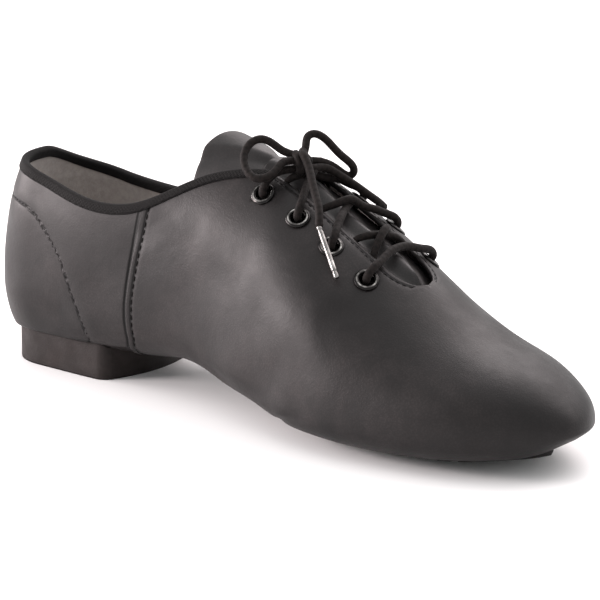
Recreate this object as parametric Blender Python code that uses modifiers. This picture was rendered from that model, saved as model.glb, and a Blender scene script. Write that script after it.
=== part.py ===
"""Lace-up jazz shoe for the left foot: a split sole under a glove-soft hollow upper.

Metres, +Z up. The toe points along +X and the wearer's left is +Y, so the inner side of
the foot is -Y. The origin is the middle of the heel block's underside, on the floor.
"""

import math

import bmesh
import bpy
import numpy as np
from mathutils import Matrix, Vector

# Driving sizes of the whole shoe
LENGTH = 0.249            # back of the heel to the tip of the toe, outside
BALL_WIDTH = 0.085        # across the joints of the toes, outside
INSTEP_HEIGHT = 0.080     # what the section heights are shares of
BACK_HEIGHT = 0.0628      # back seam, from the heel seat to the top line
HEEL_HEIGHT = 0.0122
HEEL_CENTRE = 0.032       # from the back of the shoe to the origin
TOE_SPRING = 0.0125       # how far the tip of the toe is above the ball

# Walls, layers and clearances
WALL = 0.0016             # leather and lining together
CLEARANCE = 0.0003        # between pieces that touch on the real shoe
SOLE_CLEARANCE = 0.0004   # over the heel block and the sole
SEAM_STEP = 0.0006        # the front panel laps over the rear quarter
SEAM_WIDTH = 0.0007
SEAM_TOP = 0.925          # height share where the lap ends, under the binding
SEAM_TOP_SLOPE = 0.06
SEAM_FADE = 0.035         # the lapped panel's extra thickness has gone after this
SOLE_THICKNESS = 0.0022
SOLE_SKIVE = 0.0026       # depth of the sole's edge, where it curls up with the upper
INSOLE_THICKNESS = 0.0020
TONGUE_THICKNESS = 0.0024
SOFT_CLEARANCE = 0.0005   # between the wall and what lies inside it
HEEL_INSET = 0.0056       # from the upper's side to the heel block's
HEEL_TAPER = 0.0008
HEEL_BREAST = 0.060       # from the back of the shoe to the corners of the breast
HEEL_BOW = 0.0035         # how far the breast bulges forward in its middle
HEEL_MARGIN = 0.014       # leather turned in under the heel seat
BALL_MARGIN = 0.021       # and under the ball
OPENING_ROUND = 0.012     # how the ends of each opening are rounded
THROAT_GAP = 0.0188       # between the two facings
THROAT_ROUND = 0.012
BINDING_DEPTH = 0.0050
BINDING_THICKNESS = 0.0007
BINDING_EASE = 0.0003     # more room over the edge and inside

# Eyelets and lace
EYELET_EDGE = 0.0092      # from the facing's edge to the eyelet's middle
EYELET_BORE = 0.0046
EYELET_WALL = 0.00035
EYELET_FLANGE = 0.0086
EYELET_LIP = 0.0005       # thickness of the flange
LACE = 0.0028             # diameter of the round lace
AGLET = 0.0026
AGLET_LENGTH = 0.020

# Stations along the shoe. Places are shares of LENGTH from the back, widths are shares of
# BALL_WIDTH, and heights are shares of INSTEP_HEIGHT above the seat, which is the outside
# of the upper's bottom. "heel" and "spring" say how far the seat has risen to the heel
# block's height and to the toe's. "dip" is how far the side wall's curve aims below the
# seat, so that it meets the flat bottom in an edge. "low" and "high" are the powers of
# the curves under and over the widest height.
SECTION_COLUMNS = ("along", "mid", "inner", "outer", "heel", "spring",
                   "widest", "dip", "ridge", "low", "high")
SECTIONS = (
    (0.108, 0.000, 0.345, 0.355, 1.00, 0.00, 0.250, 0.110, 1.035, 2.3, 2.00),
    (0.210, 0.000, 0.345, 0.355, 1.00, 0.00, 0.250, 0.080, 1.120, 2.5, 2.00),
    (0.310, 0.010, 0.340, 0.360, 0.92, 0.00, 0.215, 0.020, 1.095, 2.6, 2.00),
    (0.410, 0.030, 0.365, 0.380, 0.77, 0.00, 0.190, 0.000, 1.025, 2.6, 2.00),
    (0.510, 0.030, 0.420, 0.430, 0.26, 0.00, 0.185, 0.000, 0.995, 2.7, 2.00),
    (0.610, 0.010, 0.475, 0.480, 0.01, 0.00, 0.162, 0.015, 0.875, 2.8, 2.10),
    (0.710, -0.005, 0.490, 0.500, 0.00, 0.00, 0.140, 0.030, 0.710, 2.6, 1.80),
    (0.810, -0.020, 0.440, 0.465, 0.00, 0.02, 0.135, 0.025, 0.500, 2.6, 1.95),
    (0.890, -0.030, 0.355, 0.390, 0.00, 0.15, 0.120, 0.020, 0.380, 2.5, 2.30),
    (0.950, -0.035, 0.230, 0.285, 0.00, 0.36, 0.096, 0.010, 0.275, 2.4, 2.20),
    (0.985, -0.035, 0.125, 0.165, 0.00, 0.72, 0.040, 0.000, 0.135, 2.2, 2.10),
    (1.000, -0.035, 0.000, 0.000, 0.00, 1.00, 0.000, 0.000, 0.000, 2.0, 2.00),
)
# The back seam's own section, and the power that rounds the heel seen from above.
BACK = {"widest": 0.21, "dip": 0.115, "ridge": 1.01, "low": 2.2, "high": 2.0}
BACK_ROUND = 2.2

# Top line: height above the heel seat as a share of BACK_HEIGHT, on each side.
COLLAR_COLUMNS = ("station", "inner", "outer")
COLLAR = (
    (0, 1.000, 1.000),
    (1, 0.990, 0.910),
    (2, 0.945, 0.820),
    (3, 0.860, 0.775),
    (4, 0.890, 0.820),
    (5, 1.080, 1.040),
    (6, 1.140, 1.140),
)
# Where the front panel's edge crosses each height, from the bottom edge (0) to the top
# line (1), as a share of LENGTH.
SEAM_COLUMNS = ("up", "along")
SEAM = ((0.00, 0.283), (0.33, 0.285), (0.55, 0.299), (0.75, 0.300), (0.89, 0.310), (1.00, 0.315))
SEAM_RIB = 0.300          # the share of LENGTH that stands for the whole seam
SEAM_LEAN = 1.6           # stations over which the ribs beside the seam lean with it

VAMP_POINT = 0.747        # lowest end of the throat, shares of LENGTH
HEEL_OPENING_END = 0.215
BALL_OPENING = (0.600, 0.940)
SOLE_ENDS = (0.600, 0.955)
SOLE_WIDTH = (0.60, 0.48)  # shares of the upper's half width, at the sole's ends
INSOLE_END = 0.945
INSOLE_WIDTH = 0.70
TONGUE_ENDS = (0.390, 0.787)
TONGUE_SLANT = 0.024      # the top edge leans back on the inner side, by this share of LENGTH
TONGUE_SLANT_FADE = 0.090
EYELETS = (0.504, 0.571, 0.633, 0.695)
# Tongue: half width round the instep, as a share of BALL_WIDTH
TONGUE_COLUMNS = ("along", "half")
TONGUE = ((0.366, 0.310), (0.400, 0.335), (0.520, 0.300), (0.700, 0.250), (0.787, 0.200))

FAN = 2                   # stations that the round of the heel takes
LAST = FAN + len(SECTIONS) - 1
TOP_SOFTNESS = 0.035      # radians over which the top line rounds into the throat

WELD = 0.00002
ROWS = 15                 # rib points from the bottom edge to the top edge
SLAB_ROWS = 7
EYELET_SIDES = 9
EYELET_SAG = 0.0004       # the wall bends away from a flat washer by this
BINDING_END = 0.472       # share of LENGTH
SOLE_ROUND = 0.016
INSOLE_SLANT = 1.6        # the wall is deeper straight up than across
TONGUE_DEPTH = 0.0034     # under the facings, clear of the eyelets' washers
TONGUE_CROWN = 0.0008     # and in the middle of the throat, under the laces
TONGUE_LATE = 0.08        # radians past the top line where the tongue starts to fill out
TONGUE_PAST_BINDING = 0.22  # the same where the collar's binding is
TONGUE_RISE = 0.15        # and how many it takes
LACE_DIP = 0.0006         # middle of the lace above the last where it dives under a facing
LACE_CROWN = 0.0012       # and where two strands cross

# The bow, in places chosen by hand on a shoe of these sizes
BOW_SHOE = (0.249, 0.085, 0.080)   # length, ball width, instep height
KNOT = (0.0994, 0.0, 0.0864)
KNOT_SIZE = (0.0052, 0.0048, 0.0040)
BOW = {
    "lace_loop_inner": (
        (0.0935, -0.0035, 0.0905), (0.0910, -0.0050, 0.0927), (0.0874, -0.0080, 0.0950),
        (0.0857, -0.0120, 0.0936), (0.0860, -0.0155, 0.0900), (0.0895, -0.0182, 0.0856),
        (0.0940, -0.0187, 0.0834), (0.0966, -0.0163, 0.0838), (0.0974, -0.0115, 0.0862),
        (0.0974, -0.0078, 0.0884)),
    "lace_loop_outer": (
        (0.0998, 0.0014, 0.0922), (0.0984, 0.0026, 0.0950), (0.0992, 0.0045, 0.0965),
        (0.1021, 0.0080, 0.0948), (0.1062, 0.0130, 0.0880), (0.1090, 0.0168, 0.0826),
        (0.1078, 0.0168, 0.0806), (0.1050, 0.0115, 0.0838), (0.1036, 0.0075, 0.0862)),
    "lace_end_inner": (
        (0.1020, -0.0036, 0.0914), (0.1056, -0.0055, 0.0887), (0.1098, -0.0085, 0.0847),
        (0.1155, -0.0130, 0.0795), (0.1197, -0.0165, 0.0758), (0.1219, -0.0192, 0.0716)),
    "lace_end_outer": (
        (0.1053, 0.0058, 0.0850), (0.1087, 0.0086, 0.0824), (0.1130, 0.0122, 0.0788),
        (0.1158, 0.0160, 0.0752), (0.1168, 0.0200, 0.0724), (0.1166, 0.0236, 0.0698)),
}
AGLETS = {
    "aglet_inner": ((0.1221, -0.0195, 0.0712), (0.1344, -0.0255, 0.0573)),
    "aglet_outer": ((0.1165, 0.0252, 0.0683), (0.1148, 0.0364, 0.0533)),
}


def spline(knots, values, start=None, end=None):
    """A smooth curve through the values; start and end are its slopes, or free."""
    t = np.asarray(knots, float)
    y = np.asarray(values, float)
    n = len(t)
    h = np.diff(t)
    rows = np.zeros((n, n))
    right = np.zeros(n)
    for i in range(1, n - 1):
        rows[i, i - 1:i + 2] = h[i - 1], 2 * (h[i - 1] + h[i]), h[i]
        right[i] = 6 * ((y[i + 1] - y[i]) / h[i] - (y[i] - y[i - 1]) / h[i - 1])
    rows[0, 0] = rows[-1, -1] = 1
    if start is not None:
        rows[0, :2] = 2 * h[0], h[0]
        right[0] = 6 * ((y[1] - y[0]) / h[0] - start)
    if end is not None:
        rows[-1, -2:] = h[-1], 2 * h[-1]
        right[-1] = 6 * (end - (y[-1] - y[-2]) / h[-1])
    bend = np.linalg.solve(rows, right)

    def read(x):
        x = np.asarray(x, float)
        i = np.clip(np.searchsorted(t, x) - 1, 0, n - 2)
        a = t[i + 1] - x
        b = x - t[i]
        curved = (bend[i] * a ** 3 + bend[i + 1] * b ** 3) / (6 * h[i])
        return curved + (y[i] / h[i] - bend[i] * h[i] / 6) * a + (y[i + 1] / h[i] - bend[i + 1] * h[i] / 6) * b

    return read


LEVEL_AT_TOE = ("along", "mid", "heel", "low", "high")
CURVES = {
    name: spline(range(len(SECTIONS)), [row[i] for row in SECTIONS],
                 None if name == "along" else 0, 0 if name in LEVEL_AT_TOE else None)
    for i, name in enumerate(SECTION_COLUMNS)
}
FIRST = dict(zip(SECTION_COLUMNS, SECTIONS[0]))
COLLAR_CURVES = {
    side: spline([row[0] for row in COLLAR], [row[i] for row in COLLAR], 0)
    for side, i in ((-1, 1), (1, 2))
}
STATIONS = np.linspace(0, len(SECTIONS) - 1, 1200)
ALONGS = CURVES["along"](STATIONS)
GROUND = SOLE_THICKNESS + SOLE_CLEARANCE
SEAT = HEEL_HEIGHT + SOLE_CLEARANCE


def station(along):
    """The station, counted from the back seam, at a share of LENGTH past the heel's round."""
    return FAN + np.interp(along, ALONGS, STATIONS)


def section(side, u):
    """The last's section at station u, as a dictionary of lengths."""
    u = np.asarray(u, float)
    values = {name: curve(np.clip(u - FAN, 0, LAST - FAN)) for name, curve in CURVES.items()}
    turn = np.clip(u / FAN, 0, 1) * math.pi / 2
    at_heel = u < FAN
    blend = np.sin(turn) ** 2

    def share(name):
        return np.where(at_heel, BACK[name] * (1 - blend) + FIRST[name] * blend, values[name])

    half = BALL_WIDTH * np.where(side < 0, values["inner"], values["outer"])
    back = FIRST["along"] * LENGTH
    round_heel = ((np.abs(np.cos(turn)) / back) ** BACK_ROUND
                  + (np.sin(turn) / np.maximum(half, WELD)) ** BACK_ROUND) ** (-1 / BACK_ROUND)
    seat = (GROUND + (SEAT - GROUND) * np.where(at_heel, 1, values["heel"])
            + TOE_SPRING * np.where(at_heel, 0, values["spring"]))
    return {
        "reach": np.where(at_heel, round_heel, half),
        "x": np.where(at_heel, back, values["along"] * LENGTH) - HEEL_CENTRE,
        "y": np.where(at_heel, 0, values["mid"] * BALL_WIDTH),
        "dx": np.where(at_heel, -np.cos(turn), 0),
        "dy": side * np.where(at_heel, np.sin(turn), 1),
        "seat": seat,
        "widest": seat + INSTEP_HEIGHT * share("widest"),
        "under": seat - INSTEP_HEIGHT * share("dip"),
        "ridge": seat + INSTEP_HEIGHT * share("ridge"),
        "low": share("low"),
        "high": share("high"),
    }


def lap(u, v):
    """How far the front panel stands out at station u and height share v."""
    seam = station(np.interp(v, *zip(*SEAM)))
    ahead = LENGTH * (CURVES["along"](np.clip(u - FAN, 0, None)) - CURVES["along"](seam - FAN))
    rise = np.clip(ahead / SEAM_WIDTH, 0, 1)
    fade = np.clip(1 - (ahead - SEAM_WIDTH) / SEAM_FADE, 0, 1)
    below_tape = np.clip((SEAM_TOP - v) / SEAM_TOP_SLOPE, 0, 1)
    return SEAM_STEP * below_tape * rise * fade * fade * (3 - 2 * fade)


def surface(side, u, angle, proud=0):
    """A point of the outside: angle -90 degrees is the bottom's middle and 90 the ridge."""
    s = section(side, u)
    angle = np.asarray(angle, float)
    power = np.where(angle < 0, s["low"], s["high"])
    reach = (s["reach"] + proud) * np.abs(np.cos(angle)) ** (2 / power)
    tall = np.where(angle < 0, s["under"], s["ridge"]) - s["widest"]
    z = np.maximum(s["widest"] + tall * np.abs(np.sin(angle)) ** (2 / power), s["seat"])
    return np.stack([s["x"] + s["dx"] * reach, s["y"] + s["dy"] * reach, z], -1)


def rounded(inside, radius):
    """Narrows an opening towards its end: inside is the distance to that end."""
    short = np.clip(1 - inside / radius, 0, 1)
    return np.sqrt(1 - short ** 2)


def opening(side, u):
    """Half width of the hole under the heel seat or under the ball, and 0 at the waist."""
    s = section(side, u)
    from_back = np.where(np.asarray(u) < FAN, 0, s["x"] + HEEL_CENTRE)
    heel = HEEL_OPENING_END * LENGTH - from_back
    start = from_back - BALL_OPENING[0] * LENGTH
    end = BALL_OPENING[1] * LENGTH - from_back
    heel_half = (s["reach"] - HEEL_MARGIN) * rounded(heel, OPENING_ROUND) * (heel > 0)
    ball_half = (s["reach"] - BALL_MARGIN) * rounded(np.minimum(start, end), OPENING_ROUND)
    return np.maximum(np.maximum(heel_half, ball_half * (start > 0) * (end > 0)), 0)


def angle_at(side, u, half, low):
    """The section angle at a distance from its middle, under or over the widest height."""
    s = section(side, u)
    power = s["low"] if low else s["high"]
    angle = np.arccos(np.clip(half / np.maximum(s["reach"], WELD), 0, 1) ** (power / 2))
    return -angle if low else angle


def bottom_edge(side, u):
    return angle_at(side, u, opening(side, u), True)


def top_edge(side, u):
    """Angle of the top line: the collar's height, rounded into the throat's gap."""
    s = section(side, u)
    height = SEAT + BACK_HEIGHT * COLLAR_CURVES[side](np.minimum(u, COLLAR[-1][0]))
    share = np.clip((height - s["widest"]) / np.maximum(s["ridge"] - s["widest"], WELD), 0, 1)
    collar = np.arcsin(share ** (s["high"] / 2))
    collar = np.where(u > COLLAR[-1][0], math.pi / 2, collar)
    to_vamp = VAMP_POINT * LENGTH - s["x"] - HEEL_CENTRE
    half = THROAT_GAP / 2 * rounded(to_vamp, THROAT_ROUND) * (to_vamp > 0)
    throat = angle_at(side, u, half, False)
    lower = np.minimum(collar, throat)
    blend = -TOP_SOFTNESS * np.log(1 + np.exp(-np.abs(collar - throat) / TOP_SOFTNESS))
    return np.where(half > 0, lower + blend * (u < COLLAR[-1][0] + 0.5), math.pi / 2)


def ribs():
    """Stations of the upper's ribs, close together at the seam's step and the toe."""
    heel = np.linspace(0, FAN, 8, endpoint=False)
    seam = station(SEAM_RIB)
    step = station(SEAM_RIB + SEAM_WIDTH / LENGTH) - seam
    rear = np.linspace(FAN, seam, 6)
    front = np.linspace(seam + step, LAST - 2, 25)
    toe = LAST - np.array([1.6, 1.25, 0.95, 0.65, 0.4, 0.2, 0.08, 0])
    return np.concatenate([heel, rear, front, toe])


def leaned(u, v):
    """Moves a rib's station with height, so that the ribs at the seam lie along it."""
    seam = station(SEAM_RIB)
    near = np.clip(1 - np.abs(u - seam) / SEAM_LEAN, 0, 1)
    return u + near * (station(np.interp(v, *zip(*SEAM))) - seam)


def wall_point(side, u, v):
    """The outside of the upper at rib u, from its bottom edge (0) to its top edge (1)."""
    u = np.asarray(u, float)
    v = np.asarray(v, float)
    at = np.where(u > FAN, np.minimum(leaned(u, v), LAST), u)
    low = bottom_edge(side, at)
    high = top_edge(side, at)
    return surface(side, at, low + (high - low) * v, lap(at, v))


def material(name, colour, roughness, metallic=0.0):
    made = bpy.data.materials.new(name)
    made.use_nodes = True
    shader = made.node_tree.nodes["Principled BSDF"]
    shader.inputs["Base Color"].default_value = (*colour, 1)
    shader.inputs["Roughness"].default_value = roughness
    shader.inputs["Metallic"].default_value = metallic
    return made


def add_object(name, mesh, finish, home):
    made = bpy.data.objects.new(name, mesh)
    mesh.materials.append(finish)
    home.objects.link(made)
    mesh.shade_smooth()
    mesh.set_sharp_from_angle(angle=math.radians(40))
    return made


def add_grid(bm, points, flip=False):
    """Quads over a rows-by-columns array of points, and the vertices in the same array."""
    made = [[bm.verts.new(p) for p in row] for row in points]
    for first, second in zip(made, made[1:]):
        for a, b, c, d in zip(first, first[1:], second[1:], second):
            bm.faces.new((a, b, c, d) if flip else (d, c, b, a))
    return made


def mesh_from(bm, name, weld=WELD):
    bmesh.ops.remove_doubles(bm, verts=bm.verts, dist=weld)
    mesh = bpy.data.meshes.new(name)
    bm.to_mesh(mesh)
    bm.free()
    return mesh


def add_wall(piece, thickness):
    wall = piece.modifiers.new("wall", "SOLIDIFY")
    wall.thickness = thickness
    wall.offset = -1
    wall.use_even_offset = True
    return wall


def make_upper(home, finish):
    """One hollow shell: both sides meet at the back seam, the waist and over the vamp."""
    bm = bmesh.new()
    share = np.linspace(0, 1, ROWS)
    stations = ribs()
    for side in (-1, 1):
        points = wall_point(side, stations[:, None] + 0 * share, share + 0 * stations[:, None])
        add_grid(bm, points, flip=side > 0)
    upper = add_object("upper", mesh_from(bm, "upper"), finish, home)
    add_wall(upper, WALL)
    return upper


def edge_frame(side, u, depth):
    """Point on the rib's own facets at a depth below the top edge, and the directions there."""
    share = np.linspace(1, 0, ROWS)
    points = wall_point(side, np.full(ROWS, u), share)
    run = np.concatenate([[0], np.cumsum(np.linalg.norm(np.diff(points, axis=0), axis=1))])
    v = np.interp(depth, run, share)
    step = 0.004
    here = np.array([np.interp(depth, run, points[:, i]) for i in range(3)])
    up = wall_point(side, u, v + step / 4) - wall_point(side, u, v - step / 4)
    along = wall_point(side, u + step, v) - wall_point(side, max(u - step, 0), v)
    if u == 0:
        along = np.array([0, side, 0])
    out = np.cross(along, up) * -side
    return here, out / np.linalg.norm(out), up / np.linalg.norm(up)


def make_binding(home, finish):
    """A folded tape over the collar's edge, from one facing's corner round to the other."""
    gap = CLEARANCE + BINDING_EASE / 3
    crown = gap + BINDING_THICKNESS
    stations = [u for u in ribs() if u <= station(BINDING_END)]
    path = [(-1, u) for u in reversed(stations)] + [(1, u) for u in stations[1:]]
    rings = []
    for side, u in path:
        beside_seam = max(0, 1 - abs(u - station(SEAM_RIB)))
        inside = -(WALL + CLEARANCE + BINDING_EASE * (1 + beside_seam))
        (top, out, up), (mid, mid_out, _), (low, low_out, _) = (
            edge_frame(side, u, depth) for depth in (0, BINDING_DEPTH / 2, BINDING_DEPTH))
        rings.append([
            low + low_out * gap,
            low + low_out * crown,
            mid + mid_out * crown,
            top + out * crown,
            top + out * CLEARANCE / 2 + up * (crown + BINDING_EASE),
            top + out * (inside + CLEARANCE / 2) + up * (crown + BINDING_EASE),
            top + out * (inside - BINDING_THICKNESS),
            mid + mid_out * (inside - BINDING_THICKNESS),
            low + low_out * (inside - BINDING_THICKNESS),
            low + low_out * inside,
            mid + mid_out * inside,
            top + out * inside + up * (CLEARANCE + BINDING_EASE),
            top + out * gap + up * (CLEARANCE + BINDING_EASE),
            mid + mid_out * gap,
        ])
    bm = bmesh.new()
    loops = [[bm.verts.new(p) for p in ring] for ring in rings]
    for first, second in zip(loops, loops[1:]):
        for i, start in enumerate(first):
            after = (i + 1) % len(first)
            bm.faces.new((start, first[after], second[after], second[i]))
    bm.faces.new(loops[0])
    bm.faces.new(loops[-1])
    bmesh.ops.recalc_face_normals(bm, faces=bm.faces)
    return add_object("topline_binding", mesh_from(bm, "topline_binding"), finish, home)


def eyelet_places():
    """(side, centre, outward direction) of the eight eyelets, from the collar down."""
    for along in EYELETS:
        for side in (-1, 1):
            centre, out, _ = edge_frame(side, station(along), EYELET_EDGE)
            yield side, Vector(centre), Vector(out)


def turned(centre, out):
    return Matrix.Translation(centre) @ out.to_track_quat("Z", "X").to_matrix().to_4x4()


def make_eyelets(home, finish, upper, cutters):
    """Flanged tubes through the facings, and the holes that they sit in."""
    bore = EYELET_BORE / 2
    barrel = bore + EYELET_WALL
    flange = EYELET_FLANGE / 2
    washer = flange - EYELET_LIP
    inside = -(WALL + CLEARANCE + EYELET_SAG)
    profile = (
        (flange - EYELET_LIP, CLEARANCE + EYELET_LIP),
        (flange, CLEARANCE + EYELET_LIP / 3),
        (flange, CLEARANCE),
        (barrel, CLEARANCE),
        (barrel, inside),
        (washer, inside),
        (washer, inside - EYELET_LIP),
        (bore, inside - EYELET_LIP),
        (bore, CLEARANCE + EYELET_LIP / 2),
        (bore + EYELET_LIP / 2, CLEARANCE + EYELET_LIP),
    )
    bm = bmesh.new()
    points = [bm.verts.new((r, 0, z)) for r, z in profile]
    for first, second in zip(points, points[1:] + points[:1]):
        bm.edges.new((first, second))
    shared = mesh_from(bm, "eyelet")
    shared.materials.append(finish)
    holes = bmesh.new()
    for number, (side, centre, out) in enumerate(eyelet_places()):
        name = f"eyelet_{'inner' if side < 0 else 'outer'}_{number // 2 + 1}"
        eyelet = bpy.data.objects.new(name, shared)
        eyelet.matrix_world = turned(centre, out)
        home.objects.link(eyelet)
        turn = eyelet.modifiers.new("turn", "SCREW")
        turn.steps = turn.render_steps = EYELET_SIDES
        turn.use_smooth_shade = True
        bmesh.ops.create_cone(
            holes, cap_ends=True, segments=EYELET_SIDES, radius1=barrel + CLEARANCE,
            radius2=barrel + CLEARANCE, depth=WALL * 6, matrix=turned(centre, out))
    cutter = bpy.data.objects.new("eyelet_holes", mesh_from(holes, "eyelet_holes"))
    cutter.hide_render = True
    cutter.display_type = "WIRE"
    cutters.objects.link(cutter)
    cut = upper.modifiers.new("eyelet holes", "BOOLEAN")
    cut.operation = "DIFFERENCE"
    cut.object = cutter


def underside(side, u, half):
    """Height of the upper's bottom at a distance from the section's middle."""
    s = section(side, u)
    share = np.clip(half / np.maximum(s["reach"], WELD), 0, 1)
    drop = (s["widest"] - s["under"]) * (1 - share ** s["low"]) ** (1 / s["low"])
    return np.maximum(s["widest"] - drop, s["seat"])


def make_slab(name, home, finish, stations, outline, top, bottom, bulge=None):
    """A closed piece under or on the upper's bottom: outline gives its half width at each
    station, top and bottom its heights from the upper's underside, and bulge pushes the
    last edge forward."""
    across = np.sin(np.linspace(0, math.pi / 2, SLAB_ROWS))
    u, share = np.meshgrid(stations, across, indexing="ij")
    bm = bmesh.new()
    for side in (-1, 1):
        s = section(side, u)
        layers = []
        for height, taper in ((top, 0), (bottom, 1)):
            half = share * np.maximum(outline(side, u, taper), 0)
            x = s["x"] + s["dx"] * half
            if bulge:
                x = x + bulge(u, share)
            shifted = np.where(u < FAN, u, station((x + HEEL_CENTRE) / LENGTH))
            z = height(underside(side, shifted, half))
            layers.append(np.stack([x, s["y"] + s["dy"] * half, z], -1))
        upper_side = add_grid(bm, layers[0])
        lower_side = add_grid(bm, layers[1], flip=True)
        for first, second in zip(zip(upper_side, lower_side), zip(upper_side[1:], lower_side[1:])):
            bm.faces.new((first[0][-1], second[0][-1], second[1][-1], first[1][-1]))
        for i in range(SLAB_ROWS - 1):
            bm.faces.new((upper_side[-1][i], upper_side[-1][i + 1], lower_side[-1][i + 1], lower_side[-1][i]))
    bmesh.ops.remove_doubles(bm, verts=bm.verts, dist=WELD)
    bmesh.ops.recalc_face_normals(bm, faces=bm.faces)
    return add_object(name, mesh_from(bm, name), finish, home)


def between(u, ends, radius):
    """Rounds an outline off to nothing at both ends, given as shares of LENGTH."""
    along = CURVES["along"](np.clip(u - FAN, 0, None))
    inside = np.minimum(along - ends[0], ends[1] - along) * LENGTH
    return rounded(np.maximum(inside - WELD, 0), radius)


def make_soles(home, rubber, suede, board):
    """Heel block and forefoot sole outside, and the insole inside."""
    heel = np.concatenate([np.linspace(0, FAN, 9), np.linspace(FAN, station(HEEL_BREAST / LENGTH), 5)[1:]])
    last = heel[-1]

    def breast(u, share):
        return HEEL_BOW * np.clip((u - FAN) / (last - FAN), 0, 1) ** 2 * (1 - share ** 2)

    make_slab(
        "heel_block", home, rubber, heel,
        lambda side, u, taper: section(side, u)["reach"] - HEEL_INSET - HEEL_TAPER * taper,
        lambda z: z - SOLE_CLEARANCE, lambda z: 0 * z, breast)
    ends = [station(along) for along in SOLE_ENDS]
    make_slab(
        "outsole_forefoot", home, suede,
        ends[0] + (ends[1] - ends[0]) * (1 - np.cos(np.linspace(0, math.pi, 19))) / 2,
        lambda side, u, taper: (np.interp(u, ends, SOLE_WIDTH) * section(side, u)["reach"]
                                * between(u, SOLE_ENDS, SOLE_ROUND)),
        lambda z: z - SOLE_CLEARANCE, lambda z: np.maximum(z - SOLE_CLEARANCE - SOLE_SKIVE, 0))
    inside = (WALL + SOFT_CLEARANCE) * INSOLE_SLANT
    make_slab(
        "insole", home, board,
        np.concatenate([np.linspace(0, FAN, 8), np.linspace(FAN, station(INSOLE_END), 19)[1:]]),
        lambda side, u, taper: INSOLE_WIDTH * section(side, u)["reach"] * between(
            np.maximum(u, FAN), (-1, INSOLE_END), SOLE_ROUND),
        lambda z: z + inside + INSOLE_THICKNESS, lambda z: z + inside)


def over_instep(side, u, run):
    """The section angle at a distance round the instep from the ridge."""
    angles = np.linspace(math.pi / 2, 0, 120)
    points = surface(side, np.full(120, u), angles)
    steps = np.concatenate([[0], np.cumsum(np.linalg.norm(np.diff(points, axis=0), axis=1))])
    return np.interp(run, steps, angles)


def make_tongue(home, finish):
    """A padded leaf that follows the last under the facings and stands free at its top."""
    half = spline([row[0] for row in TONGUE], [row[1] for row in TONGUE])
    bm = bmesh.new()
    rows = []
    for middle in np.linspace(*TONGUE_ENDS, 17):
        slant = TONGUE_SLANT * max(0, 1 - (middle - TONGUE_ENDS[0]) / TONGUE_SLANT_FADE)
        row = []
        for share in np.linspace(-1, 1, 9):
            side = -1 if share < 0 else 1
            along = middle + slant * share
            u = station(along)
            angle = over_instep(side, u, abs(share) * half(along) * BALL_WIDTH)
            late = TONGUE_LATE if u > station(BINDING_END) else TONGUE_PAST_BINDING
            free = np.clip((angle - top_edge(side, u) - late) / TONGUE_RISE, 0, 1)
            depth = TONGUE_DEPTH * (1 - free) + TONGUE_CROWN * free
            row.append((surface(side, u, angle), depth))
        rows.append(row)
    points = np.array([[p for p, _ in row] for row in rows])
    depths = np.array([[d for _, d in row] for row in rows])
    out = np.cross(np.gradient(points, axis=0), np.gradient(points, axis=1))
    out /= np.linalg.norm(out, axis=2, keepdims=True)
    add_grid(bm, points - out * depths[..., None])
    tongue = add_object("tongue", mesh_from(bm, "tongue"), finish, home)
    add_wall(tongue, TONGUE_THICKNESS)
    return tongue


def lifted(side, u, half, lift):
    """A point over the throat or a facing: half is its distance from the shoe's middle."""
    angle = angle_at(side, u, half, False)
    step = 0.01
    here = surface(side, u, angle)
    along = surface(side, u + step, angle) - surface(side, u - step, angle)
    up = surface(side, u, angle + step) - surface(side, u, angle - step)
    out = np.cross(along, up) * -side
    return Vector(here + out / np.linalg.norm(out) * lift)


def through(points, spacing=LACE * 2.2):
    """Points along a smooth curve through a lace's own points."""
    points = [Vector(p) for p in points]
    runs = [0.0]
    for first, second in zip(points, points[1:]):
        runs.append(runs[-1] + (second - first).length)
    axes = [spline(runs, [p[i] for p in points]) for i in range(3)]
    count = max(3, round(runs[-1] / spacing) + 1)
    return [Vector([float(axis(t)) for axis in axes]) for t in np.linspace(0, runs[-1], count)]


def tube(name, points, finish, home, diameter=LACE, spacing=LACE * 2.2):
    """A round cord as a mesh object, closed at both ends."""
    curve = bpy.data.curves.new(name, "CURVE")
    curve.dimensions = "3D"
    curve.bevel_depth = diameter / 2
    curve.bevel_resolution = 2
    curve.use_fill_caps = True
    line = curve.splines.new("POLY")
    places = through(points, spacing)
    line.points.add(len(places) - 1)
    for point, place in zip(line.points, places):
        point.co = (*place, 1)
    guide = bpy.data.objects.new(name, curve)
    home.objects.link(guide)
    graph = bpy.context.evaluated_depsgraph_get()
    mesh = bpy.data.meshes.new_from_object(guide.evaluated_get(graph))
    bpy.data.objects.remove(guide)
    bm = bmesh.new()
    bm.from_mesh(mesh)
    bmesh.ops.remove_doubles(bm, verts=bm.verts, dist=WELD)
    bmesh.ops.recalc_face_normals(bm, faces=bm.faces)
    bm.to_mesh(mesh)
    bm.free()
    mesh.name = name
    return add_object(name, mesh, finish, home)


def join(piece, others, cutters):
    """Unites other solids with a piece, and puts them away with the cutters."""
    for other in others:
        union = piece.modifiers.new(other.name, "BOOLEAN")
        union.operation = "UNION"
        union.object = other
        for home in list(other.users_collection):
            home.objects.unlink(other)
        cutters.objects.link(other)
        other.hide_render = True
        other.display_type = "WIRE"
    return piece


def on_shoe(place):
    """A place chosen for the bow, moved with the size of the shoe under it."""
    x, y, z = place
    length, ball, instep = BOW_SHOE
    along = (x + HEEL_CENTRE) / length
    seat = float(section(1, station(along))["seat"])
    return Vector((along * LENGTH - HEEL_CENTRE, y * BALL_WIDTH / ball, seat + (z - seat) * INSTEP_HEIGHT / instep))


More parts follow.
